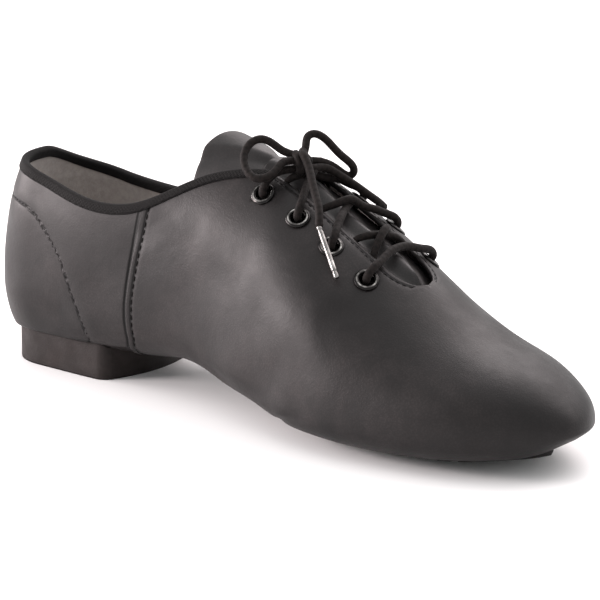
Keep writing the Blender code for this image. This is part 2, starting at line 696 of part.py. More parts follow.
def strand(side, low, high, on_top):
    """Points from the eyelet at station low, over the throat, to the far facing's edge."""
    reach = eyelet_half(side, low)
    edge = THROAT_GAP / 2
    radius = LACE / 2
    over_flange = CLEARANCE * 2 + EYELET_LIP + radius
    start = [lifted(side, low, reach - radius, over_flange), lifted(side, low, (reach + edge) / 2, over_flange)]

    def at(share):
        return low + (high - low) * share

    points = start + [lifted(side, at(0.25), edge, radius + CLEARANCE * 3)] if on_top else []
    points += [
        lifted(side, at(0.30), edge - LACE, LACE_DIP if not on_top else radius),
        lifted(side, at(0.50), 0, LACE_CROWN),
        lifted(-side, at(0.75), edge - LACE, LACE_DIP),
    ]
    return points


def eyelet_half(side, u):
    """An eyelet's distance from the middle of the shoe, seen from above."""
    centre, _, _ = edge_frame(side, u, EYELET_EDGE)
    return abs(centre[1] - float(section(side, u)["y"]))


def make_laces(home, cord, metal, cutters):
    """Crossings and bar over the tongue, the bow's knot, loops and ends, and the aglets."""
    stations = [station(along) for along in EYELETS]
    for number, (high, low) in enumerate(zip(stations, stations[1:]), 1):
        on_top = low != stations[-1]
        first = tube(f"lace_cross_{number}", strand(-1, low, high, on_top), cord, home)
        second = tube(f"lace_cross_{number}_under", strand(1, low, high, on_top), cord, home)
        if number > 1:
            join(first, [second], cutters)
        else:
            tied_over = [first, second]
    last = stations[-1]
    over = CLEARANCE * 2 + EYELET_LIP + LACE / 2
    half_run = [(eyelet_half(-1, last) - LACE / 2, over), (THROAT_GAP / 2, over)]
    bar = [lifted(-1, last, *place) for place in half_run]
    bar += [lifted(1, last, 0, LACE_CROWN + LACE / 3)]
    bar += [lifted(1, last, *place) for place in reversed(half_run)]
    tube("lace_bar", bar, cord, home)

    knot = bmesh.new()
    bmesh.ops.create_icosphere(
        knot, subdivisions=2, radius=1,
        matrix=Matrix.Translation(on_shoe(KNOT)) @ Matrix.Diagonal((*KNOT_SIZE, 1)))
    centre = add_object("lace_knot", mesh_from(knot, "lace_knot"), cord, home)
    rises = []
    for side, name in ((-1, "inner"), (1, "outer")):
        top = stations[0]
        route = [lifted(side, top, eyelet_half(side, top) - LACE / 2, over),
                 lifted(side, top + 0.05, THROAT_GAP / 2 + LACE, over),
                 on_shoe(KNOT)]
        rises.append(tube(f"lace_rise_{name}", route, cord, home))
    join(centre, rises + tied_over, cutters)
    for name, points in BOW.items():
        tube(name, [on_shoe(place) for place in points], cord, home)
    for name, points in AGLETS.items():
        tube(name, [on_shoe(place) for place in points], metal, home, AGLET, AGLET_LENGTH)


def main():
    for old in list(bpy.data.objects):
        bpy.data.objects.remove(old)
    home = bpy.data.collections.new("jazz_shoe")
    cutters = bpy.data.collections.new("cutters")
    bpy.context.scene.collection.children.link(home)
    bpy.context.scene.collection.children.link(cutters)
    leather = material("black_leather", (0.030, 0.028, 0.029), 0.42)
    tape = material("binding_tape", (0.012, 0.011, 0.011), 0.75)
    rubber = material("black_rubber", (0.022, 0.018, 0.017), 0.70)
    sole = material("sole_suede", (0.020, 0.018, 0.018), 0.80)
    lining = material("grey_lining", (0.165, 0.150, 0.145), 0.90)
    cord = material("waxed_lace", (0.014, 0.011, 0.010), 0.60)
    steel = material("steel", (0.620, 0.610, 0.600), 0.25, 1.0)
    blackened = material("blackened_metal", (0.045, 0.044, 0.046), 0.28, 1.0)
    upper = make_upper(home, leather)
    make_binding(home, tape)
    make_eyelets(home, blackened, upper, cutters)
    make_soles(home, rubber, sole, lining)
    make_tongue(home, leather)
    make_laces(home, cord, steel, cutters)


main()
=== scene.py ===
"""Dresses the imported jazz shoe: creased leather, lining, bound top line, stitches, laces and soles.

Metres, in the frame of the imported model: +X towards the toe, +Y the wearer's left, +Z up,
with the origin on the floor under the middle of the heel.
"""

import math

import bmesh
import bpy
import numpy as np
from mathutils import Matrix, Vector
from mathutils.bvhtree import BVHTree


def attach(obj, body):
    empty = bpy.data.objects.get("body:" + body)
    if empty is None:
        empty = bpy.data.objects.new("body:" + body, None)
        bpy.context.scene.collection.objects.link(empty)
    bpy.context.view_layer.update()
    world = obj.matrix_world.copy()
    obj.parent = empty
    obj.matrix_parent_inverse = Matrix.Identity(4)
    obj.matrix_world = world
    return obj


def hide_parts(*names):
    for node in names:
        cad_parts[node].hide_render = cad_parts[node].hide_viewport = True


bl_info = {
    "name": "Jazz Shoe",
    "version": (1, 0, 0),
    "blender": (4, 5, 0),
    "location": "3D View > Sidebar > Jazz Shoe",
    "description": "Leather, stitching, laces and soles for a lace-up jazz shoe",
    "category": "Object",
}

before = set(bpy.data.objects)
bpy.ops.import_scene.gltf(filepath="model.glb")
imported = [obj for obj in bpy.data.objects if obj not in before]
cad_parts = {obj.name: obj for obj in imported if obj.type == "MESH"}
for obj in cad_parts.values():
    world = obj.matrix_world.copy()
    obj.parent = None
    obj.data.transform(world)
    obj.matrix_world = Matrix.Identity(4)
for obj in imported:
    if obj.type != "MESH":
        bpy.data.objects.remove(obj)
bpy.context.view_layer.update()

# Stations along the last. Places are shares of the length from the back, widths are shares
# of the ball's width, and heights are shares of the instep's height above the seat.
SECTION_COLUMNS = ("along", "mid", "inner", "outer", "heel", "spring",
                   "widest", "dip", "ridge", "low", "high")
SECTIONS = (
    (0.108, 0.000, 0.345, 0.355, 1.00, 0.00, 0.250, 0.110, 1.035, 2.3, 2.00),
    (0.210, 0.000, 0.345, 0.355, 1.00, 0.00, 0.250, 0.080, 1.120, 2.5, 2.00),
    (0.310, 0.010, 0.340, 0.360, 0.92, 0.00, 0.215, 0.020, 1.095, 2.6, 2.00),
    (0.410, 0.030, 0.365, 0.380, 0.77, 0.00, 0.190, 0.000, 1.025, 2.6, 2.00),
    (0.510, 0.030, 0.420, 0.430, 0.26, 0.00, 0.185, 0.000, 0.995, 2.7, 2.00),
    (0.610, 0.010, 0.475, 0.480, 0.01, 0.00, 0.162, 0.015, 0.875, 2.8, 2.10),
    (0.710, -0.005, 0.490, 0.500, 0.00, 0.00, 0.140, 0.030, 0.710, 2.6, 1.80),
    (0.810, -0.020, 0.440, 0.465, 0.00, 0.02, 0.135, 0.025, 0.500, 2.6, 1.95),
    (0.890, -0.030, 0.355, 0.390, 0.00, 0.15, 0.120, 0.020, 0.380, 2.5, 2.30),
    (0.950, -0.035, 0.230, 0.285, 0.00, 0.36, 0.096, 0.010, 0.275, 2.4, 2.20),
    (0.985, -0.035, 0.125, 0.165, 0.00, 0.72, 0.040, 0.000, 0.135, 2.2, 2.10),
    (1.000, -0.035, 0.000, 0.000, 0.00, 1.00, 0.000, 0.000, 0.000, 2.0, 2.00),
)
BACK = {"widest": 0.21, "dip": 0.115, "ridge": 1.01, "low": 2.2, "high": 2.0}
BACK_ROUND = 2.2
# Stations 0 to FAN go round the back of the heel, and the first section follows them
FAN = 2
LAST = FAN + len(SECTIONS) - 1

# Top line: station, then its height over the heel seat on the inner and the outer side
COLLAR = (
    (0, 1.000, 1.000), (1, 0.990, 0.910), (2, 0.945, 0.820), (3, 0.860, 0.775),
    (4, 0.890, 0.820), (5, 1.080, 1.040), (6, 1.140, 1.140),
)
TOP_SOFTNESS = 0.035
# The lapped seam: height share from the bottom edge to the top line, and place along
SEAM = ((0.00, 0.283), (0.33, 0.285), (0.55, 0.299), (0.75, 0.300), (0.89, 0.310), (1.00, 0.315))
SEAM_RIB = 0.300
SEAM_LEAN = 1.6
# The heel stiffener's seam: station, and height over the heel seat as a share of the back's
COUNTER = (
    (0.00, 0.800), (0.70, 0.798), (1.47, 0.779), (1.82, 0.762), (2.07, 0.726), (2.34, 0.637),
    (2.47, 0.584), (2.67, 0.484), (2.80, 0.367), (2.94, 0.239), (3.04, 0.117), (3.10, 0.025),
    (3.20, -0.030),
)
# The throat and its eyelets, from the back
VAMP_POINT = 0.747
EYELETS = (0.504, 0.571, 0.633, 0.695)
EYELET_HOLE = 0.0030
BINDING_END = 0.498
FACING_TOP = 5.95
# The tongue: place along and half width, the slant of its top, and its depth in the throat
TONGUE_ENDS = (0.390, 0.787)
TONGUE = ((0.366, 0.310), (0.400, 0.335), (0.520, 0.300), (0.700, 0.250), (0.787, 0.200))
TONGUE_SLANT = 0.024
TONGUE_SLANT_FADE = 0.090
TONGUE_CORNER = 0.013
TONGUE_FREE_TO = 0.472
TONGUE_UNDER_FACING = 0.0034
TONGUE_IN_GAP = 0.0008
TONGUE_WALL = 0.0024
# The openings underneath, and how far the leather is turned in round them
HEEL_OPENING_END = 0.215
BALL_OPENING = (0.600, 0.940)
HEEL_TURN_IN = 0.014
BALL_TURN_IN = 0.021
OPENING_CORNER = 0.012
# How far the leather hangs over the heel block
HEEL_SAG = 0.0032
# The soles: widths are shares of the section's reach
SOLE_ENDS = (0.600, 0.955)
SOLE_WIDTH = (0.60, 0.48)
SOLE_GAP = 0.0004
LUG_PITCH = 0.0075
LUG_DEPTH = 0.0011
INSOLE_END = 0.945
INSOLE_WIDTH = 0.70
INSOLE_RISE = 0.0053
HEEL_BREAST = 0.241
HEEL_SETBACK = 0.0058
BREAST_HOLLOW = 0.0035
# Points nearer than TINY are one point; angles nearer than FLAT are one angle
TINY = 0.00002
FLAT = 0.001

# Rows of stitches, along the heel stiffener, the lapped seam and the facing: pitch, length,
# radius and height over the leather
STITCHES = (
    (0.0022, 0.0018, 0.00016, 0.0),
    (0.0028, 0.0021, 0.00028, 0.00006),
    (0.0024, 0.0017, 0.00017, 0.00002),
)
TAPE_STITCHES = (0.0030, 0.0020, 0.00015, 0.0)

# The height share that measures as much as one station in a crease
CREASE_SPAN = 0.22
# Creases pressed in: side (-1 inner, 1 outer), station, height share, length in
# stations, width as a height share, turn in degrees and depth in metres
CREASES = (
    (-1, 4.55, 0.30, 1.15, 0.055, 26, 0.00070), (-1, 5.30, 0.24, 1.30, 0.055, 30, 0.00070),
    (-1, 6.10, 0.30, 1.20, 0.055, 34, 0.00060), (-1, 4.95, 0.55, 1.00, 0.060, -14, 0.00040),
    (-1, 6.60, 0.52, 0.90, 0.050, 46, 0.00045), (-1, 5.60, 0.44, 1.00, 0.055, 12, 0.00040),
    (-1, 2.60, 0.50, 0.80, 0.090, 60, 0.00050), (-1, 7.15, 0.36, 0.70, 0.040, 62, 0.00060),
    (-1, 3.55, 0.20, 0.80, 0.045, 8, 0.00070), (-1, 7.80, 0.78, 0.45, 0.030, 82, 0.00035),
    (1, 4.80, 0.28, 1.10, 0.050, -24, 0.00100), (1, 5.70, 0.36, 1.20, 0.050, -32, 0.00090),
    (1, 6.70, 0.40, 0.90, 0.045, -52, 0.00070), (1, 2.90, 0.45, 0.80, 0.080, 40, 0.00050),
    (1, 3.90, 0.52, 0.90, 0.060, 14, 0.00050), (1, 7.80, 0.76, 0.45, 0.030, -80, 0.00035),
)

# The lace: points along it, its thickness share where it is pressed under a facing, and the
# rounds of smoothing that make the bow bend as a cord does
PATH_STEP = 0.0007
THIN = 0.55
EASE_ROUNDS = 12
# The bow. Each half rises from its top eyelet, goes through the knot and round its loop, and
# back through the knot to its aglet.
KNOT = Vector((0.0998, -0.0006, 0.0874))
KNOT_RADII = (0.0036, 0.0034, 0.0030)
BOW = {
    "through_inner": (
        (0.0968, -0.0062, 0.0850), (0.0990, -0.0018, 0.0852), (0.1000, 0.0012, 0.0872),
        (0.0975, -0.0010, 0.0893)),
    "through_outer": (
        (0.0990, 0.0064, 0.0854), (0.0985, 0.0022, 0.0856), (0.0990, -0.0008, 0.0880)),
    "loop_inner": (
        (0.0935, -0.0035, 0.0905), (0.0910, -0.0050, 0.0927), (0.0874, -0.0080, 0.0950),
        (0.0857, -0.0120, 0.0936), (0.0860, -0.0155, 0.0900), (0.0895, -0.0182, 0.0856),
        (0.0940, -0.0187, 0.0834), (0.0966, -0.0163, 0.0838), (0.0974, -0.0115, 0.0862),
        (0.0974, -0.0078, 0.0884)),
    "loop_outer": (
        (0.0998, 0.0014, 0.0922), (0.0984, 0.0026, 0.0950), (0.0992, 0.0045, 0.0965),
        (0.1021, 0.0080, 0.0948), (0.1062, 0.0130, 0.0880), (0.1090, 0.0168, 0.0826),
        (0.1078, 0.0168, 0.0806), (0.1050, 0.0115, 0.0838), (0.1036, 0.0075, 0.0862)),
    "back_inner": ((0.0985, -0.0040, 0.0880), (0.1002, -0.0015, 0.0888)),
    "back_outer": (
        (0.1014, 0.0030, 0.0874), (0.0996, -0.0008, 0.0872), (0.1014, -0.0032, 0.0862),
        (0.1036, 0.0000, 0.0855)),
    "end_inner": (
        (0.1020, -0.0036, 0.0914), (0.1056, -0.0055, 0.0887), (0.1098, -0.0085, 0.0847),
        (0.1155, -0.0130, 0.0795), (0.1197, -0.0165, 0.0758), (0.1219, -0.0192, 0.0716)),
    "end_outer": (
        (0.1053, 0.0058, 0.0850), (0.1087, 0.0086, 0.0824), (0.1130, 0.0122, 0.0788),
        (0.1158, 0.0160, 0.0752), (0.1168, 0.0200, 0.0724), (0.1166, 0.0236, 0.0698)),
    "aglet_inner": ((0.1221, -0.0195, 0.0712), (0.1344, -0.0255, 0.0573)),
    "aglet_outer": ((0.1165, 0.0252, 0.0683), (0.1148, 0.0364, 0.0533)),
}


class ShoeSizes(bpy.types.PropertyGroup):
    """Driving sizes of the shoe."""

    length: bpy.props.FloatProperty(
        name="Length", description="Back of the heel to the toe", default=0.249, unit="LENGTH")
    ball_width: bpy.props.FloatProperty(
        name="Ball width", description="Across the joints of the toes", default=0.085, unit="LENGTH")
    instep: bpy.props.FloatProperty(
        name="Instep", description="Height that the section heights are shares of",
        default=0.080, unit="LENGTH")
    back: bpy.props.FloatProperty(
        name="Back height", description="Heel seat to the top line", default=0.0628, unit="LENGTH")
    heel: bpy.props.FloatProperty(
        name="Heel height", description="Floor to the heel seat", default=0.0126, unit="LENGTH")
    ground: bpy.props.FloatProperty(
        name="Ball height", description="Floor to the leather under the ball",
        default=0.0026, unit="LENGTH")
    heel_centre: bpy.props.FloatProperty(
        name="Heel centre", description="Back of the shoe to the origin", default=0.032, unit="LENGTH")
    toe_spring: bpy.props.FloatProperty(
        name="Toe spring", description="Rise of the toe's tip", default=0.0125, unit="LENGTH")
    wall: bpy.props.FloatProperty(
        name="Wall", description="Leather and lining together", default=0.0016, unit="LENGTH")
    lap: bpy.props.FloatProperty(
        name="Lap", description="Step where the front panel laps the rear",
        default=0.0008, unit="LENGTH")
    binding_depth: bpy.props.FloatProperty(
        name="Binding depth", description="Width of the folded tape", default=0.0030, unit="LENGTH")
    throat_gap: bpy.props.FloatProperty(
        name="Throat gap", description="Between the facings", default=0.0188, unit="LENGTH")
    eyelet_edge: bpy.props.FloatProperty(
        name="Eyelet setback", description="Facing edge to eyelet", default=0.0092, unit="LENGTH")


class LeatherLook(bpy.types.PropertyGroup):
    """How the upper's leather looks."""

    colour: bpy.props.FloatVectorProperty(
        name="Leather", description="Main dye", subtype="COLOR", default=(0.0075, 0.0062, 0.0063))
    worn: bpy.props.FloatVectorProperty(
        name="Worn leather", description="Dye where it is rubbed", subtype="COLOR",
        default=(0.0230, 0.0188, 0.0187))
    lining: bpy.props.FloatVectorProperty(
        name="Lining", description="Brushed lining", subtype="COLOR", default=(0.36, 0.325, 0.305))
    tape: bpy.props.FloatVectorProperty(
        name="Binding", description="Folded tape", subtype="COLOR", default=(0.0035, 0.0030, 0.0030))
    roughness: bpy.props.FloatProperty(
        name="Roughness", description="Of the leather", default=0.50, subtype="FACTOR")
    grain: bpy.props.FloatProperty(
        name="Grain size", description="Width of one pebble", default=0.0007, unit="LENGTH")


class LaceLook(bpy.types.PropertyGroup):
    """Size and look of the round lace."""

    diameter: bpy.props.FloatProperty(
        name="Lace diameter", description="Round lace", default=0.0028, unit="LENGTH")
    colour: bpy.props.FloatVectorProperty(
        name="Lace", description="Waxed braid", subtype="COLOR", default=(0.0055, 0.0038, 0.0034))
    aglet: bpy.props.FloatProperty(
        name="Aglet diameter", description="Metal end", default=0.0019, unit="LENGTH")
    pitch: bpy.props.FloatProperty(
        name="Braid pitch", description="Length of one braid repeat", default=0.0012, unit="LENGTH")


class StageLook(bpy.types.PropertyGroup):
    """Camera and light."""

    azimuth: bpy.props.FloatProperty(
        name="Azimuth", description="Camera round the shoe, in degrees", default=38.75)
    elevation: bpy.props.FloatProperty(
        name="Elevation", description="Camera above the floor, in degrees", default=15.02)
    roll: bpy.props.FloatProperty(name="Roll", description="Camera roll, in degrees", default=0.47)
    distance: bpy.props.FloatProperty(
        name="Distance", description="Camera to target", default=0.8843, unit="LENGTH")
    lens: bpy.props.FloatProperty(
        name="Lens", description="Focal length in millimetres", default=152.9)
    target: bpy.props.FloatVectorProperty(
        name="Target", description="Point in the picture's middle",
        default=(0.0986, 0.0, 0.0381), subtype="TRANSLATION")
    floor: bpy.props.FloatVectorProperty(
        name="Floor", description="Floor colour", subtype="COLOR", default=(0.90, 0.90, 0.90))
    sky: bpy.props.FloatProperty(
        name="Sky", description="Strength of the white surround", default=1.00)


def sizes():
    """The shoe's driving sizes."""
    return bpy.context.scene.shoe_sizes


def ease(share):
    """Goes softly from 0 to 1 while the share does."""
    share = np.clip(share, 0, 1)
    return share * share * (3 - 2 * share)


def runs_along(points):
    """How far each point lies along a row of points."""
    return np.concatenate([[0], np.cumsum(np.linalg.norm(np.diff(points, axis=0), axis=1))])


def spline(knots, values, start=None, end=None):
    """A smooth curve through the values; start and end are its slopes, or free."""
    t = np.asarray(knots, float)
    y = np.asarray(values, float)
    n = len(t)
    h = np.diff(t)
    rows = np.zeros((n, n))
    right = np.zeros(n)
    for i in range(1, n - 1):
        rows[i, i - 1:i + 2] = h[i - 1], 2 * (h[i - 1] + h[i]), h[i]
        right[i] = 6 * ((y[i + 1] - y[i]) / h[i] - (y[i] - y[i - 1]) / h[i - 1])
    rows[0, 0] = rows[-1, -1] = 1
    if start is not None:
        rows[0, :2] = 2 * h[0], h[0]
        right[0] = 6 * ((y[1] - y[0]) / h[0] - start)
    if end is not None:
        rows[-1, -2:] = h[-1], 2 * h[-1]
        right[-1] = 6 * (end - (y[-1] - y[-2]) / h[-1])
    bend = np.linalg.solve(rows, right)

    def read(x):
        x = np.asarray(x, float)
        i = np.clip(np.searchsorted(t, x) - 1, 0, n - 2)
        a = t[i + 1] - x
        b = x - t[i]
        curved = (bend[i] * a ** 3 + bend[i + 1] * b ** 3) / (6 * h[i])
        straight = (y[i] / h[i] - bend[i] * h[i] / 6) * a
        return curved + straight + (y[i + 1] / h[i] - bend[i + 1] * h[i] / 6) * b

    return read


LEVEL_AT_TOE = ("along", "mid", "heel", "low", "high")
CURVES = {
    name: spline(range(len(SECTIONS)), [row[i] for row in SECTIONS],
                 None if name == "along" else 0, 0 if name in LEVEL_AT_TOE else None)
    for i, name in enumerate(SECTION_COLUMNS)
}
FIRST = dict(zip(SECTION_COLUMNS, SECTIONS[0]))
COLLAR_CURVES = {
    side: spline([row[0] for row in COLLAR], [row[i] for row in COLLAR], 0)
    for side, i in ((-1, 1), (1, 2))
}
STATIONS = np.linspace(0, len(SECTIONS) - 1, 1200)
ALONGS = CURVES["along"](STATIONS)


def station(along):
    """The station, counted from the back seam, at a share of the length."""
    return FAN + np.interp(along, ALONGS, STATIONS)


def along_at(u):
    """Share of the length at station u."""
    return CURVES["along"](np.clip(np.asarray(u, float) - FAN, 0, LAST - FAN))


def section(side, u):
    """The last's section at station u, as a dictionary of lengths."""
    size = sizes()
    u = np.asarray(u, float)
    values = {name: curve(np.clip(u - FAN, 0, LAST - FAN)) for name, curve in CURVES.items()}
    turn = np.clip(u / FAN, 0, 1) * math.pi / 2
    at_heel = u < FAN
    blend = np.sin(turn) ** 2

    def share(name):
        return np.where(at_heel, BACK[name] * (1 - blend) + FIRST[name] * blend, values[name])

    half = size.ball_width * np.where(side < 0, values["inner"], values["outer"])
    back = FIRST["along"] * size.length
    round_heel = ((np.abs(np.cos(turn)) / back) ** BACK_ROUND
                  + (np.sin(turn) / np.maximum(half, TINY)) ** BACK_ROUND) ** (-1 / BACK_ROUND)
    seat = (size.ground + (size.heel - size.ground) * np.where(at_heel, 1, values["heel"])
            + size.toe_spring * np.where(at_heel, 0, values["spring"]))
    return {
        "reach": np.where(at_heel, round_heel, half),
        "x": np.where(at_heel, back, values["along"] * size.length) - size.heel_centre,
        "y": np.where(at_heel, 0, values["mid"] * size.ball_width),
        "dx": np.where(at_heel, -np.cos(turn), 0),
        "dy": side * np.where(at_heel, np.sin(turn), 1),
        "seat": seat,
        "widest": seat + size.instep * share("widest"),
        "under": seat - size.instep * share("dip"),
        "ridge": seat + size.instep * share("ridge"),
        "low": share("low"),
        "high": share("high"),
    }


def surface(side, u, angle):
    """A point of the outside: angle -90 degrees is the bottom's middle and 90 the ridge."""
    s = section(side, u)
    angle = np.asarray(angle, float)
    power = np.where(angle < 0, s["low"], s["high"])
    reach = s["reach"] * np.abs(np.cos(angle)) ** (2 / power)
    tall = np.where(angle < 0, s["under"], s["ridge"]) - s["widest"]
    z = np.maximum(s["widest"] + tall * np.abs(np.sin(angle)) ** (2 / power), s["seat"])
    return np.stack([s["x"] + s["dx"] * reach, s["y"] + s["dy"] * reach, z], -1)


def rounded(inside, radius):
    """Narrows an opening towards its end: inside is the distance to that end."""
    short = np.clip(1 - inside / radius, 0, 1)
    return np.sqrt(1 - short ** 2)


def angle_at(side, u, half, low):
    """The section angle at a distance from its middle, under or over the widest height."""
    s = section(side, u)
    power = s["low"] if low else s["high"]
    angle = np.arccos(np.clip(half / np.maximum(s["reach"], TINY), 0, 1) ** (power / 2))
    return -angle if low else angle


def angle_of_height(side, u, z):
    """The section angle at a height."""
    s = section(side, u)
    over = np.clip((z - s["widest"]) / np.maximum(s["ridge"] - s["widest"], TINY), 0, 1)
    below = np.clip((s["widest"] - z) / np.maximum(s["widest"] - s["under"], TINY), 0, 1)
    return np.arcsin(over ** (s["high"] / 2)) - np.arcsin(below ** (s["low"] / 2))


def bottom_edge(side, u):
    """Angle of the edge that is turned in under the heel seat, under the ball, or joined."""
    size = sizes()
    s = section(side, u)
    from_back = np.where(np.asarray(u) < FAN, 0, s["x"] + size.heel_centre)
    heel = HEEL_OPENING_END * size.length - from_back
    start = from_back - BALL_OPENING[0] * size.length
    end = BALL_OPENING[1] * size.length - from_back
    heel_half = (s["reach"] - HEEL_TURN_IN) * rounded(heel, OPENING_CORNER) * (heel > 0)
    ball_half = (s["reach"] - BALL_TURN_IN) * rounded(np.minimum(start, end), OPENING_CORNER)
    half = np.maximum(np.maximum(heel_half, ball_half * (start > 0) * (end > 0)), 0)
    return angle_at(side, u, half, True)


def top_edge(side, u):
    """Angle of the top line: the collar's height, rounded into the throat's gap."""
    size = sizes()
    s = section(side, u)
    height = size.heel + size.back * COLLAR_CURVES[side](np.minimum(u, COLLAR[-1][0]))
    share = np.clip((height - s["widest"]) / np.maximum(s["ridge"] - s["widest"], TINY), 0, 1)
    collar = np.arcsin(share ** (s["high"] / 2))
    collar = np.where(u > COLLAR[-1][0], math.pi / 2, collar)
    to_vamp = VAMP_POINT * size.length - s["x"] - size.heel_centre
    half = size.throat_gap / 2 * rounded(to_vamp, OPENING_CORNER) * (to_vamp > 0)
    throat = angle_at(side, u, half, False)
    lower = np.minimum(collar, throat)
    blend = -TOP_SOFTNESS * np.log(1 + np.exp(-np.abs(collar - throat) / TOP_SOFTNESS))
    return np.where(half > 0, lower + blend * (u < COLLAR[-1][0] + 0.5), math.pi / 2)


def leaned(u, v):
    """Moves a rib's station with height, so that the ribs at the seam lie along it."""
    seam = station(SEAM_RIB)
    near = np.clip(1 - np.abs(u - seam) / SEAM_LEAN, 0, 1)
    return u + near * (station(np.interp(v, *zip(*SEAM))) - seam)


def angle_up(side, u, v):
    """The section angle at height share v, from the bottom edge to the top line."""
    low = bottom_edge(side, u)
    return low + (top_edge(side, u) - low) * v


def wall_place(side, u, v):
    """Station and angle of the upper at rib u and height share v."""
    at = np.where(u > FAN, np.minimum(leaned(u, v), LAST), u)
    return at, angle_up(side, at, v)


def wall_point(side, u, v):
    """A point of the upper's outside at rib u and height share v."""
    return surface(side, *wall_place(side, np.asarray(u, float), np.asarray(v, float)))


def grid_normals(points, side):
    """Outward directions of a rows-by-columns array of points on the shoe's outside."""
    out = np.cross(np.gradient(points, axis=0), np.gradient(points, axis=1)) * -side
    size = np.linalg.norm(out, axis=2, keepdims=True)
    return np.where(size > 1e-14, out / np.maximum(size, 1e-14), (1.0, 0.0, 0.0))


def bend_grid(bm, points, flip=False, scale=(1, 1)):
    """Makes a grid with a UV map and bends it to a rows-by-columns array of points."""
    rows, columns = points.shape[:2]
    layer = bm.loops.layers.uv.verify()
    made = bmesh.ops.create_grid(
        bm, x_segments=rows - 1, y_segments=columns - 1, size=1, calc_uvs=True)["verts"]
    faces = {face for vert in made for face in vert.link_faces}
    for vert in made:
        i = round((vert.co.x + 1) / 2 * (rows - 1))
        j = round((vert.co.y + 1) / 2 * (columns - 1))
        vert.co = points[i, j]
    for face in faces:
        for loop in face.loops:
            loop[layer].uv = (loop[layer].uv.x * scale[0], loop[layer].uv.y * scale[1])
    if flip:
        bmesh.ops.reverse_faces(bm, faces=list(faces))


def seal(bm, fill=False):
    """Welds the grids' edges, fills what stays open if asked, and turns the faces outward."""
    bmesh.ops.remove_doubles(bm, verts=bm.verts, dist=TINY)
    if fill:
        bmesh.ops.holes_fill(bm, edges=[e for e in bm.edges if e.is_boundary], sides=0)
        bmesh.ops.triangulate(bm, faces=[f for f in bm.faces if len(f.verts) > 4])
    bmesh.ops.recalc_face_normals(bm, faces=bm.faces)


def finish_mesh(bm, name, *finishes, weld=TINY):
    """Welds a bmesh into an object that rides on the root and takes its finishes."""
    bmesh.ops.remove_doubles(bm, verts=bm.verts, dist=weld)
    mesh = bpy.data.meshes.new(name)
    bm.to_mesh(mesh)
    bm.free()
    mesh.shade_smooth()
    piece = bpy.data.objects.new(name, mesh)
    bpy.context.scene.collection.objects.link(piece)
    for finish in finishes:
        mesh.materials.append(finish)
    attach(piece, "root")
    return piece


def thicken(piece, thickness):
    """Gives a skin its wall, leather outside and lining inside."""
    wall = piece.modifiers.new("wall", "SOLIDIFY")
    wall.thickness = thickness
    wall.offset = -1
    wall.use_even_offset = False
    wall.material_offset = 1
    wall.material_offset_rim = 0


def distance_to(line, points):
    """Distance of each of an array of points to a line of points."""
    flat = points.reshape(-1, 3)
    best = np.full(len(flat), 1.0)
    for first, second in zip(line, line[1:]):
        run = second - first
        share = np.clip((flat - first) @ run / max(run @ run, 1e-12), 0, 1)
        best = np.minimum(best, np.linalg.norm(flat - first - share[:, None] * run, axis=1))
    return best.reshape(points.shape[:-1])


# Node materials


